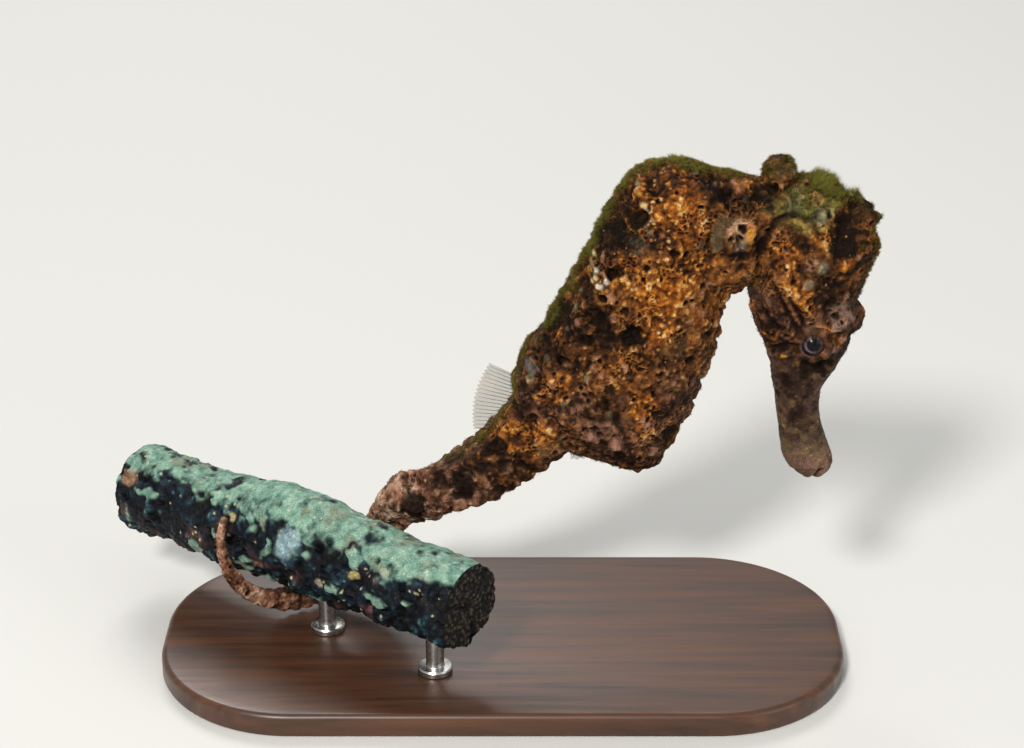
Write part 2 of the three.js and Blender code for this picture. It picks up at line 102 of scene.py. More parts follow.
# x, z, radii of a lump between the nape's knob and the crown
NAPE_FILL = (30.2, 53.8, (1.6, 1.6, 1.2))
CROWN_SWELL = {"x": 33.0, "reach": 2.0, "z": (51.6, 53.0), "rise": 0.4}
MOUTH = {"line": [(32.4, 21.0), (33.1, 21.6), (33.8, 22.9)], "from": 12.6}  # (x, z), station
EYE_RIM = {"off": 0.65, "major": 1.45, "minor": 0.52}
GILL = {"x": 29.3, "z": 46.0, "half": (2.9, 4.7), "lean": 0.2}
CORONET = {"x": 35.9, "z": 49.9, "rise": 0.92, "points": 5, "columns": 60}
# radius, height, share and height of its points
CORONET_PROFILE = [
    (2.2, -1.4, 0.05, 0), (2.2, 0.6, 0.05, 0), (2.05, 1.5, 0.05, 0),
    (2.1, 2.4, 0.08, 0.15), (1.7, 2.65, 0.08, 0.15), (0.9, 2.1, 0.05, 0),
]

ROPE = {"radius": 5.0, "plan": -0.64, "left": 33.0, "right": 15.0}
ROPE_CENTRE = np.array([-15.2, -2.5, 11.9])
ROPE_ALONG = np.array([math.cos(ROPE["plan"]), math.sin(ROPE["plan"]), 0])
ROPE_ASIDE = np.array([-math.sin(ROPE["plan"]), math.cos(ROPE["plan"]), 0])
UP = np.array([0.0, 0.0, 1.0])
TAIL_LENGTH = 65.0
TAIL_FREE = [(4.3, 27.65), (1.5, 25.0), (-1.4, 22.5), (-4.6, 20.5), (-7.8, 19.0)]
GRIP = {
    "from": 18.5, "touch": 0.93, "turn": 4.4, "ease": 1.12, "creep": 15, "bend": 1.5, "steps": 14,
    "stoutest": 1.12, "clear": 0.15,
}
GAP = 0.3
BASE = {"length": 74.0, "width": 35.0, "height": 2.6, "corner": 15.0}
ROD = {"radius": 1.0, "stops": (-5.0, 10.0)}

# ---- Small mathematics ----


def smooth(low, high, value):
    """0 at low and beyond it, 1 at high and beyond it, eased between."""
    t = np.clip((np.asarray(value) - low) / (high - low), 0, 1)
    return t * t * (3 - 2 * t)


def bell(away, width):
    """1 at no distance, falling off smoothly over about a width."""
    return np.exp(-((away / width) ** 2))


def unit(v):
    return v / np.maximum(np.linalg.norm(v, axis=-1, keepdims=True), 1e-9)


def angles(count):
    """Even angles once round."""
    return np.arange(count) * TURN / count


def through(table, at):
    """A table's rows (first column its keys) read along a smooth curve at the numbers in at."""
    keys, values = table[:, 0], table[:, 1:]
    slopes = np.empty_like(values)
    slopes[1:-1] = (values[2:] - values[:-2]) / (keys[2:] - keys[:-2])[:, None]
    slopes[0] = (values[1] - values[0]) / (keys[1] - keys[0])
    slopes[-1] = (values[-1] - values[-2]) / (keys[-1] - keys[-2])
    i = np.clip(np.searchsorted(keys, at) - 1, 0, len(keys) - 2)
    span = (keys[i + 1] - keys[i])[:, None]
    t = np.clip((at - keys[i])[:, None] / span, 0, 1)
    return (
        (2 * t**3 - 3 * t**2 + 1) * values[i]
        + (t**3 - 2 * t**2 + t) * span * slopes[i]
        + (3 * t**2 - 2 * t**3) * values[i + 1]
        + (t**3 - t**2) * span * slopes[i + 1]
    )


def hashed(cell, seed):
    """A whole random number for each cell of a grid."""
    x, y, z = (cell[:, k].astype(np.int64).astype(np.uint32) for k in range(3))
    h = x * np.uint32(0x8DA6B343) ^ y * np.uint32(0xD8163841) ^ z * np.uint32(0xCB1AB31F)
    h = h ^ np.uint32((seed * 0x9E3779B1) & 0xFFFFFFFF)
    h ^= h >> np.uint32(15)
    h *= np.uint32(0x2C1B3C6D)
    h ^= h >> np.uint32(12)
    h *= np.uint32(0x297A2D39)
    return h ^ (h >> np.uint32(15))


LARGEST_HASH = 4294967295.0


def noise(p, size, seed):
    """Smooth noise from -1 to 1 with features about this size."""
    q = p / size
    cell = np.floor(q)
    f = q - cell
    f = f * f * (3 - 2 * f)
    total = np.zeros(len(p))
    for corner in product((0, 1), repeat=3):
        step = np.array(corner)
        weight = np.prod(np.where(step, f, 1 - f), axis=1)
        total += weight * (hashed(cell + step, seed) / LARGEST_HASH)
    return total * 2 - 1


def clouds(p, size, seed, octaves=3):
    """Noise with finer noise added, octave by octave."""
    total, strength = np.zeros(len(p)), 0.0
    for k in range(octaves):
        total += noise(p, size / 2**k, seed + k) / 2**k
        strength += 1 / 2**k
    return total / strength


def patchy(low, high, p, size, seed, octaves=3):
    """0 where clouds are at low or beyond it, 1 where they are at high or beyond it."""
    return smooth(low, high, clouds(p, size, seed, octaves))


def drift(p, size, seed):
    """A sideways push for each point, which makes cells of uneven shapes."""
    return np.stack([noise(p, size, seed + k) for k in range(3)], axis=1)


def cells(p, size, seed):
    """Distances to the nearest and next of scattered points, and the nearest's number, 0 to 1."""
    q = (p / size).astype(np.float32)
    cell = np.floor(q)
    near = np.full(len(p), 9.0, np.float32)
    second = near.copy()
    name = np.zeros(len(p), np.uint32)
    for offset in product((-1, 0, 1), repeat=3):
        there = cell + np.array(offset, np.float32)
        h = hashed(there, seed)
        away = np.zeros(len(p), np.float32)
        for axis, shift in enumerate((0, 10, 20)):
            part = ((h >> np.uint32(shift)) & np.uint32(1023)) / np.float32(1023)
            away += (there[:, axis] + part - q[:, axis]) ** 2
        closer = away < near
        second = np.where(closer, near, np.minimum(second, away))
        name = np.where(closer, h, name)
        near = np.where(closer, away, near)
    return np.sqrt(near), np.sqrt(second), (name >> np.uint32(7) & np.uint32(4095)) / 4095.0


def srgb(*rgb):
    c = np.array(rgb) / 255.0
    return np.where(c <= 0.04045, c / 12.92, ((c + 0.055) / 1.055) ** 2.4)


def layered(colour, *layers):
    """A colour with shades laid over it in turn, each by a weight from 0 to 1 at each point."""
    for shade, weight in layers:
        w = np.clip(weight, 0, 1)[:, None]
        colour = colour * (1 - w) + shade * w
    return colour


def ramp(tone, *stops):
    """Colours along a scale of stops, each a number and a colour."""
    at = [stop[0] for stop in stops]
    return np.stack([np.interp(tone, at, [stop[1][k] for stop in stops]) for k in range(3)], axis=1)


def to_line(p, line):
    """How far 2-D points are from a line, and how far along it (0 to 1) the nearest place is."""
    line = np.array(line, float)
    best, share = np.full(len(p), 1e9), np.zeros(len(p))
    for k, (a, b) in enumerate(zip(line, line[1:])):
        t = np.clip(((p - a) @ (b - a)) / ((b - a) @ (b - a)), 0, 1)
        d = np.linalg.norm(p - a - t[:, None] * (b - a), axis=1)
        share = np.where(d < best, (k + t) / (len(line) - 1), share)
        best = np.minimum(best, d)
    return best, share


# ---- Meshes ----

PIGMENT = 0.6  # colours are named as they look in the room, whose light brightens them


def add_mesh(name, points, faces, material):
    """A smooth mesh in metres from points in millimetres and an array of faces, or a list of them."""
    blocks = [np.asarray(f) for f in (faces if isinstance(faces, list) else [faces])]
    loops = np.concatenate([b.ravel() for b in blocks]).astype(np.int32)
    sizes = np.concatenate([np.full(len(b), b.shape[1]) for b in blocks])
    mesh = bpy.data.meshes.new(name)
    mesh.vertices.add(len(points))
    mesh.vertices.foreach_set("co", (np.asarray(points) * MM).astype(np.float32).ravel())
    mesh.loops.add(len(loops))
    mesh.loops.foreach_set("vertex_index", loops)
    mesh.polygons.add(len(sizes))
    starts = np.concatenate([[0], np.cumsum(sizes)[:-1]]).astype(np.int32)
    mesh.polygons.foreach_set("loop_start", starts)
    mesh.update(calc_edges=True)
    mesh.validate()
    mesh.polygons.foreach_set("use_smooth", np.full(len(mesh.polygons), True))
    mesh.materials.append(material)
    return placed(name, mesh)


def placed(name, data):
    """A new object in the scene."""
    thing = bpy.data.objects.new(name, data)
    bpy.context.scene.collection.objects.link(thing)
    return thing


def add_piece(name, points, faces, material, slot, nodes=(), colour=None, uv=None):
    """A piece of the visual: its colour at each point, its unwrap, the CAD nodes it replaces."""
    piece = add_mesh(name, points, faces, material)
    if colour is not None:
        rgba = np.ones((len(colour), 4), np.float32)
        rgba[:, :3] = np.clip(colour * PIGMENT, 0, 1)
        layer = piece.data.attributes.new("tint", "FLOAT_COLOR", "POINT")
        layer.data.foreach_set("color", rgba.ravel())
    if uv is not None:
        layer = piece.data.uv_layers.new(name="OFBake")
        layer.data.foreach_set("uv", np.asarray(uv, np.float32).ravel())
    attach(piece, "root")
    if nodes:
        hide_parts(*nodes)
    return piece


def grid_faces(rows, columns, closed=True):
    """Quads over a grid of points, row by row; closed joins each row's end to its start."""
    r = np.arange(rows - 1)[:, None]
    c = np.arange(columns if closed else columns - 1)[None, :]
    d = (c + 1) % columns
    quad = [r * columns + c, r * columns + d, (r + 1) * columns + d, (r + 1) * columns + c]
    return np.stack([np.broadcast_to(q, (rows - 1, c.shape[1])).ravel() for q in quad], axis=1)


def split(quads):
    """Two triangles for each quad."""
    return np.vstack([quads[:, [0, 1, 2]], quads[:, [0, 2, 3]]])


def tube(rings):
    """Points and triangles of a closed surface over rings of points, with a fan over either end."""
    rows, columns, _ = rings.shape
    points = np.vstack([rings.reshape(-1, 3), rings[0].mean(0), rings[-1].mean(0)])
    c = np.arange(columns)
    d = np.roll(c, -1)
    first, last = np.full(columns, rows * columns), (rows - 1) * columns
    fans = [np.stack([first, d, c], axis=1), np.stack([first + 1, last + c, last + d], axis=1)]
    return points, np.vstack([split(grid_faces(rows, columns)), *fans])


def joined(parts):
    """One set of points and faces from several."""
    first = np.cumsum([0] + [len(p) for p, _ in parts])
    points = np.vstack([p for p, _ in parts])
    return points, np.vstack([f + number for (_, f), number in zip(parts, first)])


def turned(outline, x, y, around):
    """Rings from an outline of radii and heights; x and y are one centre or one for each angle."""
    return np.array([
        np.stack([x + r * np.cos(around), y + r * np.sin(around), np.full(len(around), z)], axis=1)
        for r, z in outline
    ])


def normals_of(points, quads):
    a, b, c, d = (points[quads[:, k]] for k in range(4))
    flat = np.cross(c - a, d - b)
    out = np.zeros_like(points)
    for k, corner in product(range(3), range(4)):
        out[:, k] += np.bincount(quads[:, corner], flat[:, k], len(points))
    return unit(out)


# ---- The body's sections ----


def rib_at(ring):
    return np.abs(np.sin(np.pi * ring)) ** 0.7


def ridge_at(angle, on_tail):
    """1 on a long ridge, 0 halfway between two."""
    share = angle / (math.pi / 4)
    eighth = np.round(share).astype(int) & 7
    strength = (eighth % 2 == 1) if on_tail else (eighth != 0)
    return strength * (1 - 2 * np.abs(share - np.round(share)))


def section(table, at):
    """Middle, way to the back or brow, half depth and half width of cross-sections."""
    x, z, far_x, far_z, half = through(table, at).T
    y = np.full_like(half, MEDIAN)
    middle = np.stack([(x + far_x) / 2, y, (z + far_z) / 2], axis=1)
    out = np.stack([x, y, z], axis=1) - middle
    depth = np.linalg.norm(out, axis=1)
    out /= depth[:, None]
    return middle, out, depth, half


def trunk_point(ring, angle, grow=0.0):
    middle, up, depth, half = section(TRUNK, ring)
    c, s = np.cos(angle), np.sin(angle)
    rib = rib_at(ring)
    knob = 0.42 * (1 - 0.6 * smooth(0.3, -0.6, c))
    bump = 0.12 * rib + ridge_at(angle, False) * (0.18 + knob * rib) - 0.25
    wide = s * (1 + 0.2 * c) * (1 + 0.1 * np.abs(np.sin(2 * angle)))
    point = middle + up * (c * (depth + bump + grow))[:, None]
    point[:, 1] += wide * (half + bump + grow)
    return point


def head_point(at, angle, grow=0.0):
    middle, out, depth, half = section(HEAD, at)
    full = 0.22 * smooth(0.5, 2, at) * (1 - smooth(6, 7.5, at))
    c, s = np.cos(angle), np.sin(angle)
    square = 1 + 0.07 * np.sin(2 * angle) ** 2
    point = middle + out * (c * (depth + grow) * square)[:, None]
    point[:, 1] += s * (1 - full * c) * (half + grow) * square
    return point


def tail_radius(s):
    return 0.5 + 3.3 * (1 - s / TAIL_LENGTH) + 0.6 * np.exp(-s / 8)


def rope_point(along, angle, radius):
    """A point round the rope's axis: along it, at an angle past its top towards the back."""
    out = UP * np.cos(angle)[:, None] + ROPE_ASIDE * np.sin(angle)[:, None]
    return ROPE_CENTRE + ROPE_ALONG * along[:, None] + out * np.asarray(radius)[:, None]


def tail_path():
    """The tail's middle line, a centripetal curve through its keys, and the length at each point."""
    t = np.linspace(0, 1, GRIP["steps"] + 1)
    s = GRIP["from"] + (TAIL_LENGTH - GRIP["from"]) * t
    along = -GRIP["creep"] * (1 - (1 - t) ** GRIP["bend"])
    reach = ROPE["radius"] + GAP + GRIP["stoutest"] * tail_radius(s) + GRIP["clear"]
    grip = rope_point(along, GRIP["touch"] + GRIP["turn"] * t ** GRIP["ease"], reach)
    keys = np.vstack([[(x, MEDIAN, z) for x, z in TAIL_FREE], grip])
    keys = np.vstack([2 * keys[0] - keys[1], keys, 2 * keys[-1] - keys[-2]])
    dense = []
    for x0, x1, x2, x3 in zip(keys, keys[1:], keys[2:], keys[3:]):
        d0, d1, d2 = (np.sqrt(np.linalg.norm(b - a)) for a, b in ((x0, x1), (x1, x2), (x2, x3)))
        m1 = ((x1 - x0) / d0 - (x2 - x0) / (d0 + d1) + (x2 - x1) / d1) * d1
        m2 = ((x2 - x1) / d1 - (x3 - x1) / (d1 + d2) + (x3 - x2) / d2) * d1
        u = np.linspace(0, 1, 60, endpoint=False)[:, None]
        bend = (-3 * x1 + 3 * x2 - 2 * m1 - m2) * u**2 + (2 * x1 - 2 * x2 + m1 + m2) * u**3
        dense.append(x1 + m1 * u + bend)
    dense = np.vstack([*dense, keys[-2][None]])
    lengths = np.cumsum(np.linalg.norm(np.diff(dense, axis=0), axis=1))
    lengths = np.concatenate([[0], lengths])
    return dense, lengths * TAIL_LENGTH / lengths[-1]


TAIL_LINE, TAIL_LENGTHS = tail_path()


def tail_length_at(ring):
    share = ring / TAIL_END
    return TAIL_LENGTH * share * (1 - 0.225 * share) / (1 - 0.225)


def tail_frame(s):
    """Places along the tail, and the ways to its back and to its left there."""
    def place(at):
        return np.stack([np.interp(at, TAIL_LENGTHS, TAIL_LINE[:, k]) for k in range(3)], axis=1)

    ahead = unit(place(np.minimum(s + 0.15, TAIL_LENGTH)) - place(np.maximum(s - 0.15, 0)))
    here = place(s)
    in_plane = np.stack([ahead[:, 2], np.zeros(len(s)), -ahead[:, 0]], axis=1)
    axis = here - ROPE_CENTRE
    outward = unit(axis - (axis @ ROPE_ALONG)[:, None] * ROPE_ALONG)
    w = smooth(9, 24, s)[:, None]
    back = in_plane * (1 - w) + outward * w
    back = unit(back - (back * ahead).sum(1, keepdims=True) * ahead)
    return here, back, np.cross(ahead, back)


def tail_point(ring, angle, grow=0.0):
    s = np.minimum(tail_length_at(ring), TAIL_LENGTH)
    here, back, left = tail_frame(s)
    radius, rib, ridge = tail_radius(s), rib_at(ring), ridge_at(angle, True)
    size = radius * (0.93 + 0.13 * ridge + ridge * rib * 0.09) + 0.06 * rib + grow
    narrow = 1 - 0.04 * (1 - smooth(0, 3, ring))
    out = back * (np.cos(angle) * size)[:, None]
    return here + out + left * (np.sin(angle) * size * narrow)[:, None]


def sheet_of(point_at, rows, columns, grow):
    """Rings of points over rows of one number by even angles."""
    angle = np.tile(angles(columns), len(rows))
    return point_at(np.repeat(rows, columns), angle, grow).reshape(len(rows), columns, 3)


# ---- The skin: one closed surface over trunk, tail and head ----


def ball_rings(centre, radii, rows=16, columns=24):
    up = np.linspace(0.02, math.pi - 0.02, rows)[:, None]
    around = angles(columns)[None, :]
    x, y = radii[0] * np.sin(up) * np.cos(around), radii[1] * np.sin(up) * np.sin(around)
    z = radii[2] * np.cos(up) * np.ones_like(around)
    return np.stack([x + centre[0], y + centre[1], z + centre[2]], axis=-1)


def eye_rim(sign):
    """A torus round the eye, whose axis is Y, as points and triangles."""
    a, b = angles(40)[:, None], angles(14)[None, :]
    r = EYE_RIM["major"] + EYE_RIM["minor"] * np.cos(b)
    y = MEDIAN + sign * (EYE["off"] + EYE_RIM["off"]) + EYE_RIM["minor"] * np.sin(b) * np.ones_like(a)
    rings = np.stack([EYE["x"] + r * np.cos(a), y, EYE["z"] + r * np.sin(a)], axis=-1)
    rings = np.concatenate([rings, rings[:1]])
    return rings.reshape(-1, 3), split(grid_faces(*rings.shape[:2]))


def coronet_rings():
    angle = angles(CORONET["columns"])
    point = np.cos(CORONET["points"] * angle)
    rings = []
    for radius, height, share, rise in CORONET_PROFILE:
        r, z = (radius - COAT * 0.8) * (1 + share * point), height - COAT * 0.6 + rise * point
        rings.append(np.stack([r * np.cos(angle), r * np.sin(angle), z], axis=1))
    x, y, z = np.moveaxis(np.array(rings), -1, 0)
    tilt = math.pi / 2 - CORONET["rise"]
    c, s = math.cos(tilt), math.sin(tilt)
    return np.stack([x * c + z * s + CORONET["x"], y + MEDIAN, z * c - x * s + CORONET["z"]], axis=-1)


def rough_body():
    """All the body's solids as overlapping closed shells, inside the CAD by the coat's depth."""
    parts = [
        tube(sheet_of(trunk_point, np.linspace(TRUNK_START, TRUNK_END, 151), 96, -COAT)),
        tube(sheet_of(tail_point, np.linspace(0, TAIL_END, 325), 64, -COAT * 0.55)),
        tube(sheet_of(head_point, np.linspace(0, HEAD_END, 110), 80, -COAT)),
        tube(coronet_rings()),
    ]
    for x, z, off, radii in BUMPS.values():
        for sign in (1, -1) if off else (0,):
            shrunk = [r - COAT * 0.7 for r in radii]
            parts.append(tube(ball_rings((x, MEDIAN + sign * off, z), shrunk)))
    x, z, radii = NAPE_FILL
    parts.append(tube(ball_rings((x, MEDIAN, z), radii)))
    return joined([*parts, eye_rim(1), eye_rim(-1)])


def remeshed(points, triangles, voxel):
    """The outside of overlapping closed shells as one mesh of even small quads, in millimetres."""
    mesh = bpy.data.meshes.new("rough")
    mesh.from_pydata(points.tolist(), [], triangles.tolist())
    holder = placed("rough", mesh)
    change = holder.modifiers.new("remesh", "REMESH")
    change.mode = "VOXEL"
    change.voxel_size = voxel
    made = holder.evaluated_get(bpy.context.evaluated_depsgraph_get()).to_mesh()
    out = np.empty(len(made.vertices) * 3, np.float32)
    made.vertices.foreach_get("co", out)
    corner = np.empty(len(made.loops), np.int32)
    made.loops.foreach_get("vertex_index", corner)
    assert len(corner) == 4 * len(made.polygons)
    bpy.data.objects.remove(holder)
    bpy.data.meshes.remove(mesh)
    return out.reshape(-1, 3).astype(float), corner.reshape(-1, 4)


def largest_only(points, quads):
    """Drops all but the piece with the most points."""
    label = np.arange(len(points))
    while True:
        low = label[quads].min(axis=1)
        new = label.copy()
        for k in range(4):
            np.minimum.at(new, quads[:, k], low)
        new = new[new]
        if (new == label).all():
            break
        label = new
    keep = label == np.bincount(label).argmax()
    number = np.cumsum(keep) - 1
    return points[keep], number[quads[keep[quads[:, 0]]]]


def relaxed(points, quads, rounds, strength=0.5):
    """Moves each point, or each number, towards the mean of its neighbours."""
    edges = np.vstack([quads[:, [k, (k + 1) % 4]] for k in range(4)])
    a, b = np.unique(np.sort(edges, axis=1), axis=0).T
    count = np.bincount(np.concatenate([a, b]), minlength=len(points))
    for _ in range(rounds):
        around = np.empty_like(points)
        for k, column in enumerate(points.T):
            around[:, k] = np.bincount(a, column[b], len(points))
            around[:, k] += np.bincount(b, column[a], len(points))
        points = points + strength * (around / count[:, None] - points)
    return points


class Places:
    """Where points lie on one part of the body: ring or station, and angle from the back or brow."""

    def __init__(self, point_at, rows, columns):
        self.rows = rows
        self.step = rows[1] - rows[0], TURN / columns
        self.row = np.repeat(rows, columns)
        self.angle = np.tile(angles(columns), len(rows))
        self.point = point_at(self.row, self.angle, -COAT)
        sheet = self.point.reshape(len(rows), columns, 3)
        self.along = (np.gradient(sheet, axis=0) / self.step[0]).reshape(-1, 3)
        across = np.roll(sheet, -1, 1) - np.roll(sheet, 1, 1)
        self.round = (across / (2 * self.step[1])).reshape(-1, 3)
        self.tree = KDTree(len(self.point))
        for k, p in enumerate(self.point.tolist()):
            self.tree.insert(p, k)
        self.tree.balance()

    def find(self, points):
        """Row, angle and distance for each point, and the number of the nearest place."""
        hits = [self.tree.find(p)[1:] for p in points.tolist()]
        index, away = (np.array(column) for column in zip(*hits))
        offset = points - self.point[index]

        def further(way, step):
            return np.clip((offset * way).sum(1) / np.maximum((way**2).sum(1), 1e-6), -step, step)

        row = self.row[index] + further(self.along[index], self.step[0])
        angle = self.angle[index] + further(self.round[index], self.step[1])
        return np.clip(row, self.rows[0], self.rows[-1]), angle % TURN, away, index


PARTS = HEAD_PART, TRUNK_PART, TAIL_PART = 0, 1, 2
VOXEL = 0.12


class Skin:
    """The skin's points with what is known about each: part, ring, angle, normal, colour, coat."""

    def __init__(self):
        points, self.quads = largest_only(*remeshed(*rough_body(), VOXEL))
        self.point = relaxed(points, self.quads, 10)
        self.normal = normals_of(self.point, self.quads)
        places = [
            Places(head_point, np.linspace(0, HEAD_END, 110), 80),
            Places(trunk_point, np.linspace(TRUNK_START, TRUNK_END, 241), 96),
            Places(tail_point, np.linspace(0, TAIL_END, 577), 56),
        ]
        self.found = [p.find(self.point) for p in places]
        away = np.stack([f[2] for f in self.found])
        away[HEAD_PART] -= 0.15
        self.part = away.argmin(0)
        self.row = np.choose(self.part, [f[0] for f in self.found])
        self.angle = np.choose(self.part, [f[1] for f in self.found])
        self.head, self.trunk, self.tail = (self.part == part for part in PARTS)
        # how much nearer the part is than the next, to fade what follows a part's own rings
        self.seam = np.sort(away, axis=0)[1] - np.sort(away, axis=0)[0]
        self.side = self.point[:, [0, 2]]
        flank = smooth(0.15, 0.5, np.abs(self.normal[:, 1]))
        self.on_side = flank * smooth(0.5, 1.2, np.abs(self.point[:, 1] - MEDIAN))
        dx, dz = (self.side - (EYE["x"], EYE["z"])).T
        self.eye_away, self.eye_turn = np.hypot(dx, dz), np.arctan2(dz, dx)
        self.face = np.where(self.head, smooth(5.5, 9, self.row), 0)  # 1 on the snout
        self.wobble = noise(self.point, 0.9, 17)
        # the coat lies tailwards along trunk and tail, and from the face up and back on the head
        lie = np.zeros_like(self.point)
        for part, sense in zip(PARTS, (-1, 1, 1)):
            mine = self.part == part
            lie[mine] = places[part].along[self.found[part][3][mine]] * sense
        self.lie = unit(lie - (lie * self.normal).sum(1, keepdims=True) * self.normal)

    def reshape(self, height):
        """Moves the points out by their heights, and keeps the calm normals too."""
        self.point = relaxed(self.point + self.normal * height[:, None], self.quads, 1, 0.35)
        self.calm_normal, self.normal = self.normal, normals_of(self.point, self.quads)


# Sculpted on both flanks: lines as (x, z), half width, height; a minus sign is a groove.
STROKES = [
    # the gill cover's arched upper rim, and the groove outside it
    ([(26.7, 46.6), (26.9, 48.8), (27.9, 50.4), (29.3, 51.1), (30.8, 50.5),
      (31.7, 49.2)], 0.5, 0.1),
    ([(26.1, 46.4), (26.3, 49.1), (27.6, 51.2), (29.4, 52.0), (31.2, 51.3),
      (32.3, 49.6)], 0.4, -0.5),
    ([(29.2, 50.4), (30.0, 49.4), (30.5, 48.2)], 0.6, -0.3),
    # bands running to the eye
    ([(28.4, 45.2), (29.7, 43.7), (31.0, 42.1), (32.2, 40.6), (32.7, 39.6)], 0.6, 0.5),
    ([(27.3, 45.4), (28.3, 43.3), (29.4, 41.1), (30.6, 39.2)], 0.26, -0.38),
    ([(29.2, 43.4), (30.4, 41.3), (31.0, 39.8)], 0.26, -0.4),
    ([(26.6, 44.4), (27.3, 42.6), (28.4, 40.5), (29.9, 38.9)], 0.36, 0.28),
    ([(26.0, 43.0), (26.9, 41.0), (28.2, 39.4)], 0.25, -0.25),
    ([(34.4, 39.6), (33.7, 39.3), (33.0, 39.1)], 0.36, 0.4),
    ([(33.5, 42.6), (33.2, 41.4), (33.5, 40.2)], 0.4, -0.5),
    ([(28.0, 36.9), (29.1, 37.4), (30.2, 37.6)], 0.34, -0.45),
    ([(28.4, 36.2), (29.3, 36.1), (30.4, 36.6)], 0.34, 0.28),
    ([(31.2, 35.4), (32.6, 34.9), (34.0, 35.5)], 0.5, -0.45),
    ([(33.6, 36.4), (34.1, 36.9)], 0.5, 0.36),
    # the hollow between cheek and crown, and the ridges on either side
    ([(34.7, 51.2), (34.4, 49.8), (34.5, 48.2)], 1.0, -0.9),
    ([(35.3, 50.2), (35.4, 48.8)], 0.6, -0.3),
    ([(32.4, 52.0), (32.6, 49.8), (32.8, 47.6)], 0.5, 0.36),
    ([(36.9, 52.0), (37.0, 50.0), (37.5, 47.9)], 0.7, 0.3),
    ([(34.0, 46.5), (35.4, 46.3)], 0.65, 0.42),
    ([(32.5, 46.4), (32.5, 46.5)], 0.7, 0.42),
    ([(31.2, 46.8), (31.2, 46.7)], 0.6, 0.3),
    ([(33.0, 45.2), (34.6, 44.2), (35.6, 43.0)], 0.55, -0.3),
    ([(29.6, 47.9), (29.2, 46.6), (29.4, 45.6)], 0.8, 0.22),
    # behind the head: the fin's base, the folds over the nape
    ([(23.4, 51.9), (24.6, 52.2), (25.0, 50.6), (24.4, 49.0), (23.2, 48.7),
      (22.6, 50.2), (23.4, 51.9)], 0.75, 0.45),
    ([(22.1, 55.2), (23.0, 53.9), (24.6, 54.2), (27.4, 54.1)], 0.6, -0.55),
    ([(22.2, 53.3), (23.8, 53.3), (25.0, 54.2), (25.8, 55.2)], 0.3, 0.34),
    ([(26.8, 52.8), (26.8, 52.7)], 0.5, -0.5),
    # folds where trunk runs into tail, and across the belly
    ([(11.4, 30.6), (12.4, 28.6), (13.2, 26.8)], 0.4, -0.3),
    ([(8.6, 31.0), (9.6, 29.2), (10.4, 27.2)], 0.35, -0.3),
    ([(17.6, 30.8), (16.8, 28.6), (17.2, 26.6)], 0.5, -0.3),
]
# Round hollows on both flanks: x, z, radius, depth
HOLLOWS = [
    (13.6, 52.1, 0.95, 0.55), (11.2, 46.2, 0.62, 0.5), (9.4, 41.8, 1.0, 0.55),
    (13.0, 39.4, 1.1, 0.6), (8.6, 39.0, 0.6, 0.45), (21.3, 39.1, 0.6, 0.45),
    (24.1, 50.8, 0.42, 0.5), (22.8, 49.9, 0.3, 0.4), (10.2, 43.6, 0.5, 0.4),
    (12.4, 42.3, 0.45, 0.35), (17.4, 48.6, 0.5, 0.35), (19.3, 36.2, 0.55, 0.4),
    (16.2, 35.0, 0.5, 0.35), (6.2, 36.6, 0.6, 0.4), (11.0, 33.6, 0.6, 0.45), (3.2, 30.0, 0.6, 0.4),
    (-1.2, 26.6, 0.7, 0.45), (17.6, 27.3, 0.9, 0.4), (14.6, 46.9, 0.4, 0.3), (20.4, 44.5, 0.4, 0.3),
]
# Lobes and knobs on both flanks: x, z, radius, height
KNOBS = [
    (9.3, 27.9, 0.9, 0.5), (11.7, 26.6, 0.9, 0.5), (15.9, 25.2, 0.9, 0.4), (13.8, 27.4, 0.7, 0.35),
    (2.9, 36.0, 0.8, 0.4), (3.1, 33.9, 0.7, 0.4), (5.2, 34.3, 0.7, 0.35), (5.7, 32.0, 0.8, 0.4),
    (9.6, 46.2, 0.34, 0.22), (10.0, 44.9, 0.42, 0.26), (9.4, 47.4, 0.36, 0.22),
    (10.5, 45.4, 0.36, 0.2), (9.6, 45.5, 0.34, 0.22), (9.1, 46.8, 0.3, 0.18), (9.2, 45.1, 0.3, 0.2),
    (14.0, 54.4, 0.8, 0.4), (18.6, 51.2, 0.8, 0.3), (31.6, 53.6, 0.8, 0.35), (32.3, 51.8, 0.6, 0.3),
    (27.4, 39.4, 0.6, 0.35), (28.1, 38.5, 0.5, 0.3), (24.8, 48.6, 0.6, 0.3), (15.9, 31.0, 0.6, 0.3),
    (14.9, 28.4, 0.7, 0.3), (34.8, 46.4, 0.7, 0.3),
]


def spots(skin, table, reach, wobble=0.25):
    """For each row of a table: the flank's points near it, their uneven distances, the row's rest."""
    for x, z, radius, *rest in table:
        dx, dz = (skin.side - (x, z)).T
        box = reach * radius * 1.4
        i = np.flatnonzero((np.abs(dx) < box) & (np.abs(dz) < box))
        yield (i, np.hypot(dx[i], dz[i]) * (1 + wobble * skin.wobble[i]), radius, *rest)


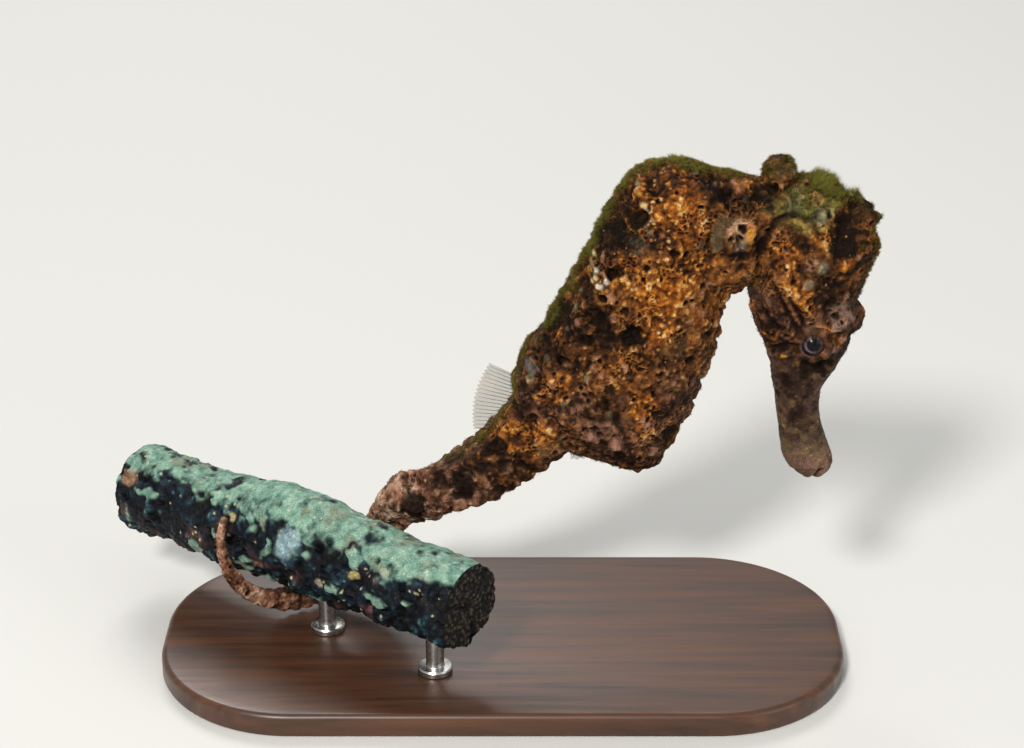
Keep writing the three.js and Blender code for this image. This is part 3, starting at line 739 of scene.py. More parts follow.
def ring_knobs(skin):
    """Knobs where rings cross long ridges, lowest along the belly, and the grooves between rings."""
    height = np.zeros(len(skin.point))
    free = smooth(0.0, 1.2, skin.seam)
    ring_share = np.abs(skin.row - np.floor(skin.row) - 0.5)
    name = np.stack([np.floor(skin.row), np.round(skin.angle * 4 / math.pi), 0 * skin.row], axis=1)
    vary = 0.35 + 0.65 * hashed(name, 31) / LARGEST_HASH
    low_belly = 1 - 0.85 * smooth(0.5, -0.4, np.cos(skin.angle))
    slim_end = smooth(36, 20, skin.row)
    for part, on_tail, girth, tall, fade in (
        (skin.trunk, False, 7.0, 0.3, low_belly), (skin.tail, True, 2.6, 0.2, slim_end),
    ):
        ridge = ridge_at(skin.angle, on_tail)
        knob = bell(ring_share * girth * 0.42, 0.6) * bell((1 - ridge) * girth * 0.39, 0.8) * (ridge > 0)
        rise = tall * knob * vary * fade - 0.08 * bell(0.5 - ring_share, 0.1)
        height += np.where(part, free * rise, 0)
    return height


def crust_of(skin):
    """The overgrown surface: lumps, winding ridges, honeycombed patches, open pits with raised rims."""
    p = skin.point
    warp = drift(p, 0.9, 3)
    big, _, _ = cells(p + warp * 0.5, 2.3, 11)
    mid, _, mid_name = cells(p + warp * 0.35, 1.1, 12)
    small, small_next, grain_name = cells(p + warp * 0.15, 0.46, 13)
    lump_big = 1 - smooth(0, 0.85, big)
    lump_mid = (1 - smooth(0, 0.75, mid)) * (0.3 + 0.7 * mid_name)
    grain = 1 - smooth(0.15, 0.7, small)
    comb = smooth(0.0, 0.28, 0.3 - (small_next - small))
    patch = patchy(0.0, 0.35, p, 2.6, 21) * (1 - skin.face)
    wind = 1 - smooth(0, 0.4, np.abs(noise(p + warp * 0.5, 1.5, 24)))
    vein = 1 - smooth(0, 0.45, np.abs(noise(p + warp * 0.3, 0.75, 25)))
    crust = 0.27 * (lump_big - 0.4) + 0.25 * (lump_mid - 0.25) + 0.09 * (wind - 0.4) + 0.05 * (vein - 0.4)
    crust += patch * 0.19 * (comb - 0.5) + (1 - patch) * 0.17 * grain * (grain_name - 0.2)
    crust += 0.13 * clouds(p, 0.7, 22)
    deep, _, pit_name = cells(p + warp * 0.3, 1.2, 41)
    deep = deep * (1 + 0.4 * noise(p, 0.4, 42))
    pitted = (pit_name > 0.5) * (1 - skin.face)
    pit, rim = smooth(0.27, 0.14, deep) * pitted, bell(deep - 0.34, 0.07) * pitted
    crust += 0.05 * rim - 0.28 * pit
    return crust, {
        "mid": lump_mid, "mid_name": mid_name, "comb": comb * patch, "pit": pit, "rim": rim,
        "wind": wind, "grain": grain, "grain_name": grain_name,
    }


def gill_cover(skin):
    """The raised gill cover, finely rayed."""
    gx, gz = (skin.side - (GILL["x"], GILL["z"])).T
    c, s = math.cos(GILL["lean"]), math.sin(GILL["lean"])
    across, up = gx * c - gz * s, gx * s + gz * c
    reach = np.hypot(across / GILL["half"][0], up / GILL["half"][1])
    fan = np.sin(26 * np.arctan2(across + 0.3, up + 4.5)) * smooth(0.2, 0.6, reach)
    return skin.on_side * skin.head * smooth(1.04, 0.9, reach) * (0.22 + 0.03 * fan)


def carvings(skin):
    """The heights of the strokes, hollows and knobs, and how much is cut at each point, 0 to 1, which the
    colours darken as painted shade.
    """
    height, carved = np.zeros((2, len(skin.point)))
    for line, half, rise in STROKES:
        keys = np.array(line)
        inside = (skin.side > keys.min(0) - 3 * half) & (skin.side < keys.max(0) + 3 * half)
        i = np.flatnonzero(inside.all(1))
        away, share = to_line(skin.side[i], keys)
        shape = skin.on_side[i] * bell(away, half) * (1 - 0.35 * np.abs(2 * share - 1) ** 3)
        height[i] += rise * (1 + 0.25 * skin.wobble[i]) * shape
        if rise < 0:
            carved[i] = np.maximum(carved[i], shape * min(1, -2.2 * rise))
    for i, away, radius, deep in spots(skin, HOLLOWS, 2):
        cut = skin.on_side[i] * smooth(1.15 * radius, 0.5 * radius, away)
        height[i] += skin.on_side[i] * 0.12 * bell(away - 1.3 * radius, 0.25) - deep * cut
        carved[i] = np.maximum(carved[i], cut)
    for i, away, radius, rise in spots(skin, KNOBS, 2):
        height[i] += skin.on_side[i] * rise * bell(away, 0.75 * radius)
    return height, carved


def sculpted(skin):
    """The relief in millimetres, and the fields that the colours follow."""
    p = skin.point
    carving, carved = carvings(skin)
    height = ring_knobs(skin) + gill_cover(skin) + carving
    # the crown swells between the nape's knob and the coronet
    swell = bell(p[:, 0] - CROWN_SWELL["x"], CROWN_SWELL["reach"]) * smooth(*CROWN_SWELL["z"], p[:, 2])
    height += CROWN_SWELL["rise"] * swell * skin.head
    height += 0.26 * skin.face  # the snout's coat is thin, so its skin lies nearer the solid's surface
    crust, fields = crust_of(skin)
    calm = (1 - 0.6 * skin.face) * np.where(skin.head, 0.85, 1)
    calm *= np.where(skin.tail, 0.5 + 0.35 * smooth(30, 8, skin.row), 1)
    height += calm * crust

    # the eye's socket and the folded rim round it
    away = skin.eye_away
    near = np.abs(p[:, 1] - MEDIAN) > 1.2
    height = np.where(near & (away < 2.4), height * smooth(0.9, 2.4, away), height)
    height -= near * 0.9 * smooth(1.08, 0.8, away)
    folds = np.sin(7 * skin.eye_turn + 2 * skin.wobble) * smooth(0.7, 0.2, np.abs(away - 1.8))
    height += near * 0.08 * folds

    # the mouth: an oblique slit between soft lips
    slit, _ = to_line(skin.side, MOUTH["line"])
    lips = height * 0.4 - 0.4 * bell(slit, 0.2) + 0.12 * bell(slit - 0.5, 0.22)
    height = np.where(skin.head & (skin.row > MOUTH["from"]), lips, height)

    # how far each place lies above or below what is round it, which the colours turn into painted light and
    # shade
    cavity = height - relaxed(height[:, None], skin.quads, round(0.5 / VOXEL**2))[:, 0]
    return height, {**fields, "carved": carved, "crust": crust, "cavity": cavity}


# ---- Colours ----

BLACK = srgb(24, 13, 7)
DARK = srgb(58, 35, 18)
BROWN = srgb(108, 66, 33)
LIGHT_BROWN = srgb(160, 103, 52)
TAN = srgb(206, 154, 98)
RUST = srgb(128, 71, 28)
ORANGE = srgb(204, 114, 38)
GOLD = srgb(248, 174, 70)
CREAM = srgb(255, 226, 164)
PINK = srgb(186, 138, 116)
CORAL = srgb(226, 150, 118)
PALE = srgb(238, 226, 206)
OLIVE = srgb(98, 94, 40)
MOSS = srgb(142, 146, 62)
PURPLE = srgb(80, 60, 52)
GREY_GREEN = srgb(146, 150, 124)
EARTHS = ((0.0, BLACK), (0.2, DARK), (0.46, BROWN), (0.76, LIGHT_BROWN), (1.0, TAN))
EMBERS = ((0.0, BLACK), (0.18, DARK), (0.42, RUST), (0.68, ORANGE), (0.86, GOLD), (1.0, CREAM))

# Warm patches on both flanks: x, z, radius, strength
WARM = [
    (15.6, 52.6, 3.0, 0.8), (18.8, 51.4, 2.8, 0.85), (18.0, 54.8, 2.6, 0.7), (16.0, 43.6, 2.8, 1.0),
    (15.8, 40.2, 2.2, 1.0), (18.0, 46.5, 3.2, 0.6), (13.0, 46.5, 2.4, 0.7), (14.6, 31.8, 1.9, 0.9),
    (14.8, 28.6, 1.4, 0.7), (5.6, 33.2, 2.2, 0.8), (3.4, 27.4, 2.4, 0.9), (0.8, 27.9, 1.6, 0.85),
    (5.9, 39.3, 0.9, 1.0), (24.9, 50.4, 0.8, 1.0), (31.0, 42.6, 1.4, 0.85), (29.6, 44.4, 1.2, 0.8),
    (33.4, 39.3, 0.8, 1.0), (28.6, 48.0, 2.0, 0.6), (34.9, 46.4, 1.0, 0.95), (27.6, 39.2, 1.1, 0.7),
    (24.2, 54.6, 1.1, 0.8), (13.9, 54.3, 1.2, 0.9), (32.4, 49.6, 1.2, 0.6), (29.2, 36.1, 0.45, 1.0),
    (12.6, 36.0, 3.0, 0.35), (20.6, 41.6, 2.0, 0.35), (8.6, 36.0, 2.4, 0.3), (20.6, 33.6, 2.2, 0.2),
    (0.6, 28.4, 1.1, 1.0), (3.9, 26.6, 0.7, 1.0), (1.2, 26.0, 0.5, 1.0), (3.2, 25.2, 0.7, 0.9),
    (-4.6, 23.4, 0.6, 0.9), (-7.0, 19.6, 0.8, 0.9), (-11.0, 19.6, 0.9, 0.8), (-8.2, 21.4, 0.6, 0.8),
    (-2.6, 21.2, 0.7, 0.8), (-5.4, 19.0, 0.6, 0.8), (37.2, 49.6, 1.6, 0.4), (21.0, 48.0, 2.0, 0.5),
]
# Patches of other colours on both flanks, a few of them painted highlights: x, z, radius, colour, strength
PATCHES_AND_HIGHLIGHTS = [
    (31.0, 52.6, 2.6, srgb(182, 166, 88), 0.65), (27.4, 52.8, 1.3, srgb(168, 146, 78), 0.5),
    (23.7, 50.6, 1.6, srgb(220, 174, 138), 0.8), (24.0, 48.8, 0.8, PALE, 0.4),
    (34.9, 41.0, 1.5, srgb(170, 138, 122), 0.75), (34.4, 39.6, 0.7, srgb(176, 150, 136), 0.6),
    (EYE["x"] + 0.9, EYE["z"] + 1.25, 0.36, CORAL, 0.9),
    (EYE["x"] + 1.5, EYE["z"] + 1.45, 0.34, CORAL, 0.9), (33.8, 36.7, 0.8, PINK, 0.8),
    (31.2, 46.8, 0.7, PINK, 0.75), (26.5, 43.0, 1.4, PINK, 0.3),
    (32.5, 46.4, 0.75, GREY_GREEN, 0.75), (32.2, 51.8, 0.9, GREY_GREEN, 0.7),
    (29.4, 53.0, 1.1, GREY_GREEN, 0.5), (31.8, 53.7, 1.0, TAN, 0.7), (33.6, 53.2, 1.0, MOSS, 0.6),
    # the small pale, cream and gold spots on the knobs near x 9 to 10.5 and x 13.5 to 14.5 are pale shell
    # grains with painted glints on them
    (30.6, 52.6, 0.9, MOSS, 0.5), (9.6, 46.2, 0.26, PALE, 1.0), (10.0, 44.9, 0.34, PALE, 1.0),
    (9.4, 47.4, 0.28, CREAM, 1.0), (9.1, 46.8, 0.24, TAN, 1.0), (9.0, 46.0, 0.22, GOLD, 0.9),
    (9.6, 45.5, 0.3, CREAM, 1.0), (10.5, 45.4, 0.28, PALE, 1.0), (9.2, 45.1, 0.24, CREAM, 0.9),
    (9.5, 44.2, 0.22, GOLD, 1.0), (10.6, 44.5, 0.2, TAN, 1.0), (8.8, 45.4, 0.2, ORANGE, 0.9),
    (9.5, 48.2, 0.24, TAN, 0.9), (13.7, 54.8, 0.3, CREAM, 0.9), (14.2, 53.4, 0.3, CREAM, 0.9),
    (11.0, 43.9, 0.5, PINK, 0.7), (13.9, 54.2, 0.25, GOLD, 1.0), (14.5, 52.9, 0.25, PALE, 0.9),
    (14.1, 52.2, 0.25, GOLD, 0.9), (9.4, 27.9, 0.9, PINK, 0.85), (11.8, 26.6, 0.9, PINK, 0.85),
    (16.0, 25.2, 0.9, PINK, 0.65), (15.2, 28.9, 0.8, PINK, 0.6),
    # the two orange-pink spots at z 54.7, by x 23.6 and 24.2, are painted highlights
    (23.6, 54.7, 0.35, srgb(226, 150, 104), 0.9), (2.9, 35.2, 0.7, PALE, 0.4),
    (24.2, 54.7, 0.35, srgb(226, 150, 104), 0.9), (24.8, 50.9, 0.3, ORANGE, 0.9),
    (24.85, 50.4, 0.44, GOLD, 1.0), (25.0, 49.9, 0.44, GOLD, 1.0), (25.05, 49.4, 0.3, GOLD, 0.95),
    (24.9, 48.9, 0.3, ORANGE, 0.9), (36.5, 51.6, 1.2, srgb(126, 86, 54), 0.65),
    (36.9, 49.8, 1.2, srgb(120, 80, 50), 0.55), (28.6, 53.2, 1.0, OLIVE, 0.5),
    (27.6, 56.2, 1.6, srgb(112, 96, 52), 0.5), (29.2, 36.1, 0.3, GOLD, 1.0),
    (35.1, 46.7, 0.7, ORANGE, 0.6), (0.4, 23.4, 0.8, PINK, 0.7), (-3.0, 20.2, 1.0, PINK, 0.5),
    (-6.0, 22.6, 1.0, PINK, 0.5), (3.0, 34.2, 0.5, CREAM, 0.5), (11.0, 29.0, 1.4, PINK, 0.4),
    (4.6, 26.0, 1.6, TAN, 0.4), (14.4, 51.6, 0.6, GREY_GREEN, 0.6),
    (13.4, 49.4, 1.2, GREY_GREEN, 0.25), (17.6, 38.0, 1.4, TAN, 0.3),
]
# Dark blotches on both flanks: dark skin, and painted shade where they lie in hollows and grooves, as
# between cheek and crown: x, z, radius, strength
BLOTCHES_AND_SHADE = [
    (22.3, 54.9, 1.2, 0.97), (24.6, 53.9, 0.8, 0.95), (26.6, 54.0, 0.9, 0.97),
    (34.6, 50.6, 1.4, 0.97), (34.4, 48.4, 1.3, 0.97), (35.1, 49.6, 1.2, 0.95),
    (35.4, 46.2, 0.5, 0.5), (30.4, 37.1, 0.5, 0.8), (30.2, 49.6, 0.9, 0.75),
    (13.6, 52.1, 1.0, 0.95), (9.6, 41.9, 1.4, 0.9), (13.0, 39.4, 1.2, 0.97),
    (11.2, 46.3, 0.8, 0.95), (8.7, 39.1, 0.8, 0.9), (21.2, 39.0, 0.9, 0.9), (21.6, 36.0, 1.3, 0.7),
    (19.6, 32.0, 1.7, 0.65), (17.2, 27.0, 1.4, 0.8), (12.3, 25.4, 0.8, 0.7), (9.8, 31.5, 1.6, 0.65),
    (-0.9, 26.2, 1.5, 0.95), (-4.2, 21.6, 1.6, 0.95), (-9.6, 18.4, 1.7, 0.95),
    (12.2, 54.0, 1.3, 0.8), (-6.6, 21.6, 0.9, 0.8), (-2.4, 23.4, 0.7, 0.8), (1.4, 25.0, 0.8, 0.7),
    (-12.0, 18.0, 1.0, 0.8), (24.1, 50.8, 0.4, 0.97), (22.8, 49.9, 0.3, 0.85),
    (32.4, 35.2, 1.2, 0.97), (33.5, 35.6, 0.8, 0.95), (31.4, 35.0, 0.8, 0.9),
    (29.0, 37.3, 0.6, 0.95), (30.6, 33.4, 1.8, 0.6), (31.3, 28.8, 1.2, 0.5), (20.6, 52.6, 0.9, 0.4),
    (21.4, 49.4, 1.2, 0.6), (26.8, 52.8, 0.5, 0.85), (33.4, 42.2, 0.9, 0.75),
    (11.3, 50.0, 1.5, 0.7), (5.2, 37.2, 1.1, 0.6), (9.0, 44.2, 0.9, 0.7), (7.4, 36.4, 1.0, 0.5),
    (1.8, 30.6, 1.3, 0.6), (17.4, 36.2, 1.0, 0.4),
]


def algae_cover(skin):
    """How thickly green turf grows: on what looks up and back, thinnest on face, snout and belly."""
    p = skin.point
    backness = np.cos(skin.angle) + 0.12 * clouds(p, 1.8, 64)
    trunk = 0.8 * smooth(0.92, 1.03, backness)
    tail = smooth(0.86, 1.02, backness) * smooth(20, 4, skin.row) * 0.6
    crown = smooth(50.8, 53.3, p[:, 2] + 0.9 * noise(p, 2.2, 62)) * smooth(0.25, 0.85, skin.normal[:, 2])
    front = 0.55 * smooth(0.6, 0.92, skin.normal[:, 0]) * smooth(40, 47, p[:, 2])
    grown = np.choose(skin.part, [np.maximum(0.95 * crown, front), trunk, tail])
    nape = np.hypot(p[:, 0] - BUMPS["nape"][0], p[:, 2] - BUMPS["nape"][1])
    grown *= 1 - 0.35 * smooth(3.4, 2.4, nape)
    return np.clip(grown * (0.75 + np.where(skin.head, 0.35, 0.7) * clouds(p, 2.0, 61)), 0, 1)


def tone_of(skin, f):
    """How light each point is, 0 to 1 and a little beyond: noise, and painted light and shade from its
    relief, with raised lumps and rims lighter and pits and recesses darker.
    """
    p, middle = skin.point, 0.38
    # painted light and shade: raised crust lighter, low crust and recesses darker
    tone = middle + 0.75 * f["crust"] + 1.1 * np.clip(f["cavity"], -0.25, 0.25)
    tone += 0.3 * clouds(p, 5.5, 70, 2) - 0.06 * skin.tail
    tone += 0.26 * clouds(p, 0.6, 72) + 0.34 * (f["grain_name"] - 0.5) * f["grain"]
    tone += 0.09 * f["comb"] + 0.05 * f["rim"] + 0.1 * noise(p, 0.21, 74) + 0.05 * (f["wind"] - 0.4)
    tone = middle + 1.1 * (tone - middle) - 0.2 * patchy(0.05, 0.45, p, 2.6, 75, 2) - 0.1 * skin.head
    return tone - 0.1 * smooth(0.4, 0.9, np.cos(skin.angle)) * skin.trunk


def snout_colour(skin, f, mottle):
    """Mottled purple-brown, paler and pinker to the mouth, with painted light on raised places and painted
    shade in recesses.
    """
    pink = smooth(10.8, 12.8, skin.row) * (0.45 + 0.4 * smooth(-0.3, 0.4, mottle))
    colour = layered(
        PURPLE * 1.12,
        (srgb(122, 94, 68), smooth(-0.2, 0.45, mottle)),
        (BLACK, patchy(0.1, -0.4, skin.point, 0.8, 82) * 0.8),
        (srgb(112, 102, 70), smooth(9.8, 11.4, skin.row) * smooth(-0.4, 0.5, mottle) * 0.6),
        (srgb(150, 114, 100), pink),
        (TAN, f["grain"] * (f["grain_name"] > 0.93) * 0.4),
    )
    # painted light and shade: lighter where the relief stands up, darker where it sinks
    return colour * (1 + 1.6 * np.clip(f["cavity"], -0.2, 0.2))[:, None]


def blotches_and_shade(skin, f, broken):
    """Dark blotches, the tail's dark patches, and painted shade in pits, carved grooves, hollows and low
    places, 0 to 1.
    """
    # painted shade in the pits and in the carved grooves and hollows
    dark = np.maximum(f["pit"] * 0.9, f["carved"] * 0.85)
    dark = np.maximum(dark, 0.75 * skin.tail * patchy(-0.1, -0.45, skin.point, 1.5, 79))
    # painted shade where the relief lies below what is round it
    dark = np.maximum(dark, smooth(-0.05, -0.2, f["cavity"]) * 0.7)
    for i, away, radius, strength in spots(skin, BLOTCHES_AND_SHADE, 1.7, 0.4):
        away = away * (1 + 0.9 * broken[i])
        dark[i] = np.maximum(dark[i], skin.on_side[i] * strength * smooth(1.3 * radius, 0.7 * radius, away))
    return dark


def eye_surround(skin, mottle):
    """Dark skin round the eye with broken pale streaks and a dull mauve edge."""
    away, turn = skin.eye_away, skin.eye_turn
    rays = smooth(0.2, 0.9, np.sin(7 * turn + 0.8 + 1.4 * skin.wobble) + 0.5 * mottle)
    lower = smooth(0.2, 0.95, -np.cos(turn - 0.7))
    return layered(
        DARK,
        (srgb(132, 84, 58), rays * 0.7),
        (srgb(134, 104, 112), smooth(1.5, 1.25, away) * lower * 0.6),
        (DARK, smooth(1.1, 1.0, away) * 0.8),
    )


def coloured(skin, f):
    """The colour of each point, and how thickly turf grows there."""
    p, tone = skin.point, tone_of(skin, f)
    warm = 0.36 * patchy(0.12, 0.55, p, 3.2, 73) * (1 - skin.face)
    for i, away, radius, strength in spots(skin, WARM, 1.4):
        spot = skin.on_side[i] * strength * smooth(1.35 * radius, 0.5 * radius, away)
        warm[i] = np.maximum(warm[i], spot)
    # painted glints: bright grains on warm, light places turned gold, a few cream
    painted_glint = f["grain"] * (f["grain_name"] > 0.7) * smooth(0.2, 0.6, warm) * smooth(0.3, 0.55, tone)
    mauve = layered(srgb(52, 34, 32), (srgb(146, 106, 92), smooth(0.1, 0.8, tone)))
    by_eye = smooth(8.5, 3.0, np.hypot(*(skin.side - (30.5, 37.5)).T)) * skin.head
    low = smooth(37.0, 32.0, skin.side[:, 1]) * skin.trunk + 0.6 * skin.tail
    grey = (np.abs(f["mid_name"] - 0.5) < 0.03) * smooth(0.15, 0.5, f["mid"])
    colour = layered(
        ramp(tone, *EARTHS),
        (ramp(tone + 0.1 * warm, *EMBERS), warm * 0.85),
        (GOLD, 0.7 * painted_glint),
        (CREAM, 0.8 * painted_glint * (f["grain_name"] > 0.92)),
        (mauve, by_eye * 0.45 * patchy(-0.3, 0.2, p, 2.4, 77) * (1 - warm)),
        (mauve, low * 0.4 * patchy(-0.35, 0.15, p, 2.8, 78) * (1 - 0.8 * warm)),
        (PINK, (f["mid_name"] > 0.9) * smooth(0.3, 0.7, f["mid"]) * 0.5),
        (GREY_GREEN, grey * 0.45),
    )
    broken = clouds(p, 0.7, 76)
    for i, away, radius, shade, strength in spots(skin, PATCHES_AND_HIGHLIGHTS, 1.4, 0.35):
        weight = skin.on_side[i] * strength * smooth(1.25 * radius, 0.45 * radius, away)
        weight *= 1 - 0.65 * smooth(0.05, -0.35, broken[i]) * (radius > 0.4)
        lit = (0.42 + 0.85 * np.clip(tone[i], 0, 1))[:, None]
        colour[i] = layered(colour[i], (np.minimum(shade * lit, 1), weight))

    mottle = clouds(p, 1.1, 81) + 0.35 * clouds(p, 0.35, 83, 2)
    tail_shades = ((0.0, DARK), (0.35, srgb(138, 92, 72)), (0.7, srgb(212, 160, 130)), (1.1, PALE))
    pale_tail = smooth(3, 9, skin.row) * skin.tail * 0.8 * (1 - 0.5 * warm)
    dark = blotches_and_shade(skin, f, broken)
    green = algae_cover(skin) * (1 - 0.75 * dark)
    ground = layered(
        srgb(52, 40, 18),
        (OLIVE, smooth(0.1, 0.6, tone)),
        (MOSS, smooth(0.55, 0.9, tone + 0.12 * skin.head) * 0.7),
    )
    sand, _, sand_name = cells(p, 0.36, 95)
    bright = smooth(0.34, 0.2, sand) * (sand_name > 0.978) * (1 - 0.7 * skin.face)
    by_socket = (np.abs(p[:, 1] - MEDIAN) > 0.8) * smooth(2.4, 1.8, skin.eye_away)
    colour = layered(
        colour,
        (snout_colour(skin, f, mottle), smooth(6.6, 8.6, skin.row) * skin.head * 0.92),
        (ramp(tone + 0.2, *tail_shades), pale_tail),
        # dark blotches, and painted shade in pits, grooves, hollows and low places
        (BLACK, dark * (1 - 0.5 * (1 - dark) * smooth(0.5, 0.8, tone))),
        (ground, green * 0.45),
        (TAN, bright * 0.8),
        (eye_surround(skin, mottle), by_socket * 0.75),
    )
    return colour, green


# ---- Materials ----


def put(node, **inputs):
    """Sets constants on a node's own inputs; a space in a name is written _."""
    for name, value in inputs.items():
        node.inputs[name.replace("_", " ")].default_value = value
    return node


def new_material(name, **inputs):
    """A material, its node tree and its main shader with some inputs set."""
    material = bpy.data.materials.new(name)
    material.use_nodes = True
    tree = material.node_tree
    return material, tree, put(tree.nodes["Principled BSDF"], **inputs)


def tint_of(tree):
    """The colour stored in the mesh."""
    node = tree.nodes.new("ShaderNodeAttribute")
    node.attribute_name = "tint"
    return node.outputs["Color"]


def noise_of(tree, scale, detail=4, roughness=0.6, distortion=0.0, stretch=None):
    """Noise over the object's own coordinates, which may be scaled along each axis first."""
    place = tree.nodes.new("ShaderNodeTexCoord").outputs["Object"]
    if stretch:
        mapping = put(tree.nodes.new("ShaderNodeMapping"), Scale=stretch)
        tree.links.new(place, mapping.inputs["Vector"])
        place = mapping.outputs["Vector"]
    texture = tree.nodes.new("ShaderNodeTexNoise")
    put(texture, Scale=scale, Detail=detail, Roughness=roughness, Distortion=distortion)
    tree.links.new(place, texture.inputs["Vector"])
    return texture.outputs["Fac"]


def ranged(tree, source, low, high, at_low, at_high):
    node = tree.nodes.new("ShaderNodeMapRange")
    put(node, From_Min=low, From_Max=high, To_Min=at_low, To_Max=at_high)
    tree.links.new(source, node.inputs["Value"])
    return node.outputs["Result"]


def bumped(tree, shader, source, distance, strength=1.0):
    bump = put(tree.nodes.new("ShaderNodeBump"), Distance=distance, Strength=strength)
    tree.links.new(source, bump.inputs["Height"])
    tree.links.new(bump.outputs["Normal"], shader.inputs["Normal"])


def shaded(tree, shader, source, low, high, start=0.0, end=1.0):
    """The shader's colour goes from low to high as source goes from start to end."""
    node = tree.nodes.new("ShaderNodeValToRGB")
    for stop, position, colour in zip(node.color_ramp.elements, (start, end), (low, high)):
        stop.position = position
        stop.color = (*colour, 1)
    tree.links.new(source, node.inputs["Fac"])
    tree.links.new(node.outputs["Color"], shader.inputs["Base Color"])


def tinted_material(name, rough, grain_scale, grain, relief, **inputs):
    """Takes its colour from the mesh and adds fine grain to colour, roughness and relief."""
    material, tree, shader = new_material(name, **inputs)
    fine = noise_of(tree, grain_scale)
    scaled = tree.nodes.new("ShaderNodeVectorMath")
    scaled.operation = "SCALE"
    tree.links.new(tint_of(tree), scaled.inputs[0])
    tree.links.new(ranged(tree, fine, 0.3, 0.7, 1 - grain, 1 + grain), scaled.inputs["Scale"])
    tree.links.new(scaled.outputs[0], shader.inputs["Base Color"])
    coarse = noise_of(tree, grain_scale * 0.35, 2)
    tree.links.new(ranged(tree, coarse, 0.35, 0.65, *rough), shader.inputs["Roughness"])
    bumped(tree, shader, fine, relief)
    return material


# ---- Making the skin ----

FLESH = (
    "head", "snout", "coronet", "gill_cover_left", "gill_cover_right", "neck", "trunk_upper",
    "trunk_lower", "tail_root", "tail_upper", "tail_middle", "tail_lower", "tail_tip",
)
# The unwrap is a square whose side stands for 76 mm of skin, and each part has a band of it.
UNWRAP = {
    "side": 76.0, "edge": 1.5, "tail": 13.5, "trunk": 51.5, "head": 60.5, "top": 73.5,
    "trunk ring": 3.05, "head station": 2.6,
}


def unwrapped(part, row, angle):
    """Flat coordinates from 0 to 1 of a ring and angle on one part, cut along its back or brow."""
    around = angle / TURN - 0.5
    if part == TAIL_PART:
        s = tail_length_at(row)
        u, v = UNWRAP["edge"] + s, UNWRAP["tail"] + around * TURN * (tail_radius(s) + 0.2) * 0.9
    elif part == TRUNK_PART:
        girth = np.interp(row, [-4, 0, 6, 9, 11], [15, 36, 41, 34, 29])
        u = UNWRAP["edge"] + (row - TRUNK_START) * UNWRAP["trunk ring"]
        v = UNWRAP["trunk"] + around * girth
    else:
        girth = np.interp(row, [0, 2, 4, 7, 9, 12, 13.6], [8, 25, 28, 21, 11, 12, 6])
        u, v = UNWRAP["head"] + around * girth, UNWRAP["top"] - row * UNWRAP["head station"]
    return np.stack([u, v], axis=-1) / UNWRAP["side"]


def over_cut(angle):
    """Angles at the corners of faces, which go past a whole turn where a face lies over the cut."""
    wraps = (angle.max(1) - angle.min(1)) > math.pi
    return np.where(wraps[:, None] & (angle < math.pi), angle + TURN, angle)


def skin_uv(skin):
    """A place in the unwrap for each corner of each face; a face over a border keeps to one part."""
    face_part = np.sort(skin.part[skin.quads], axis=1)[:, 1]
    uv = np.zeros((*skin.quads.shape, 2))
    for part in PARTS:
        mine = face_part == part
        row, angle, _, _ = skin.found[part]
        uv[mine] = unwrapped(part, row[skin.quads[mine]], over_cut(angle[skin.quads[mine]]))
    return uv


def make_skin():
    """The skin piece, and what the coat needs to know of it."""
    skin = Skin()
    height, fields = sculpted(skin)
    skin.reshape(height)
    skin.colour, skin.green = coloured(skin, fields)
    look = tinted_material("seahorse_skin", (0.3, 0.75), 7500, 0.6, 0.00009, Specular_IOR_Level=0.07)
    uv = skin_uv(skin)
    add_piece("seahorse_skin", skin.point, skin.quads, look, "skin", FLESH, skin.colour, uv)
    print("skin", len(skin.point), "points", len(skin.quads) * 2, "triangles")
    return skin


# ---- The coat of fine turf ----

TUFTS = 20000
THREADS_PER_TUFT = 4
COAT_PIECES = 5
MOST_TRIANGLES = 200000  # in a piece
# a thread's seven points: three at its root, three at its middle and its tip
THREAD_FACES = np.array([
    (0, 2, 1), (3, 4, 6), (4, 5, 6), (5, 3, 6), (0, 1, 4),
    (0, 4, 3), (1, 2, 5), (1, 5, 4), (2, 0, 3), (2, 3, 5),
])
# across and along a thread's patch of the unwrap
THREAD_PATCH = np.array([
    (0.1, 0.0), (0.5, 0.0), (0.9, 0.0), (0.1, 0.5), (0.5, 0.5), (0.9, 0.5), (0.5, 1.0),
])
PATCH_SIZE = 0.003  # of the unwrap's side


def coat_density(skin):
    """Tufts for each point of the skin and the length of their threads in millimetres."""
    p = skin.point
    density = (0.015 + 0.07 * patchy(-0.1, 0.5, p, 1.8, 101)) * (1 - 0.7 * skin.face)
    density += skin.green * patchy(-0.7, 0.2, p, 0.9, 104)
    density *= smooth(1.9, 2.6, skin.eye_away)
    gripping = skin.tail & (skin.row > 8) & (np.cos(skin.angle) < -0.2)
    long = np.where(skin.head, 0.7 + 0.5 * bell(p[:, 0] - 33.4, 2.0), 0.26) * smooth(0.2, 0.9, skin.green)
    length = 0.2 + long + 0.07 * clouds(p, 1.6, 102) + 0.2 * patchy(0.1, 0.5, p, 3.0, 103) * skin.green
    length *= 1 - 0.4 * skin.face
    return np.where(gripping, 0, density), np.where(skin.tail, np.minimum(length, 0.4), length)


def threads(root, grow, bend, length, width):
    """Points (n, 7, 3) of tapered three-sided threads that start along grow and turn to bend."""
    length, width = length[:, None], width[:, None]
    side = unit(np.cross(grow, bend + 0.3 * UP + 1e-4))
    other = unit(np.cross(grow, side))
    middle = root + (grow * 0.55 + bend * 0.1) * length
    outs = [(side * math.cos(a) + other * math.sin(a)) * width for a in angles(3)]
    tip = root + (grow * 0.72 + bend * 0.5) * length
    return np.stack([*(root + out for out in outs), *(middle + out * 0.7 for out in outs), tip], axis=1)


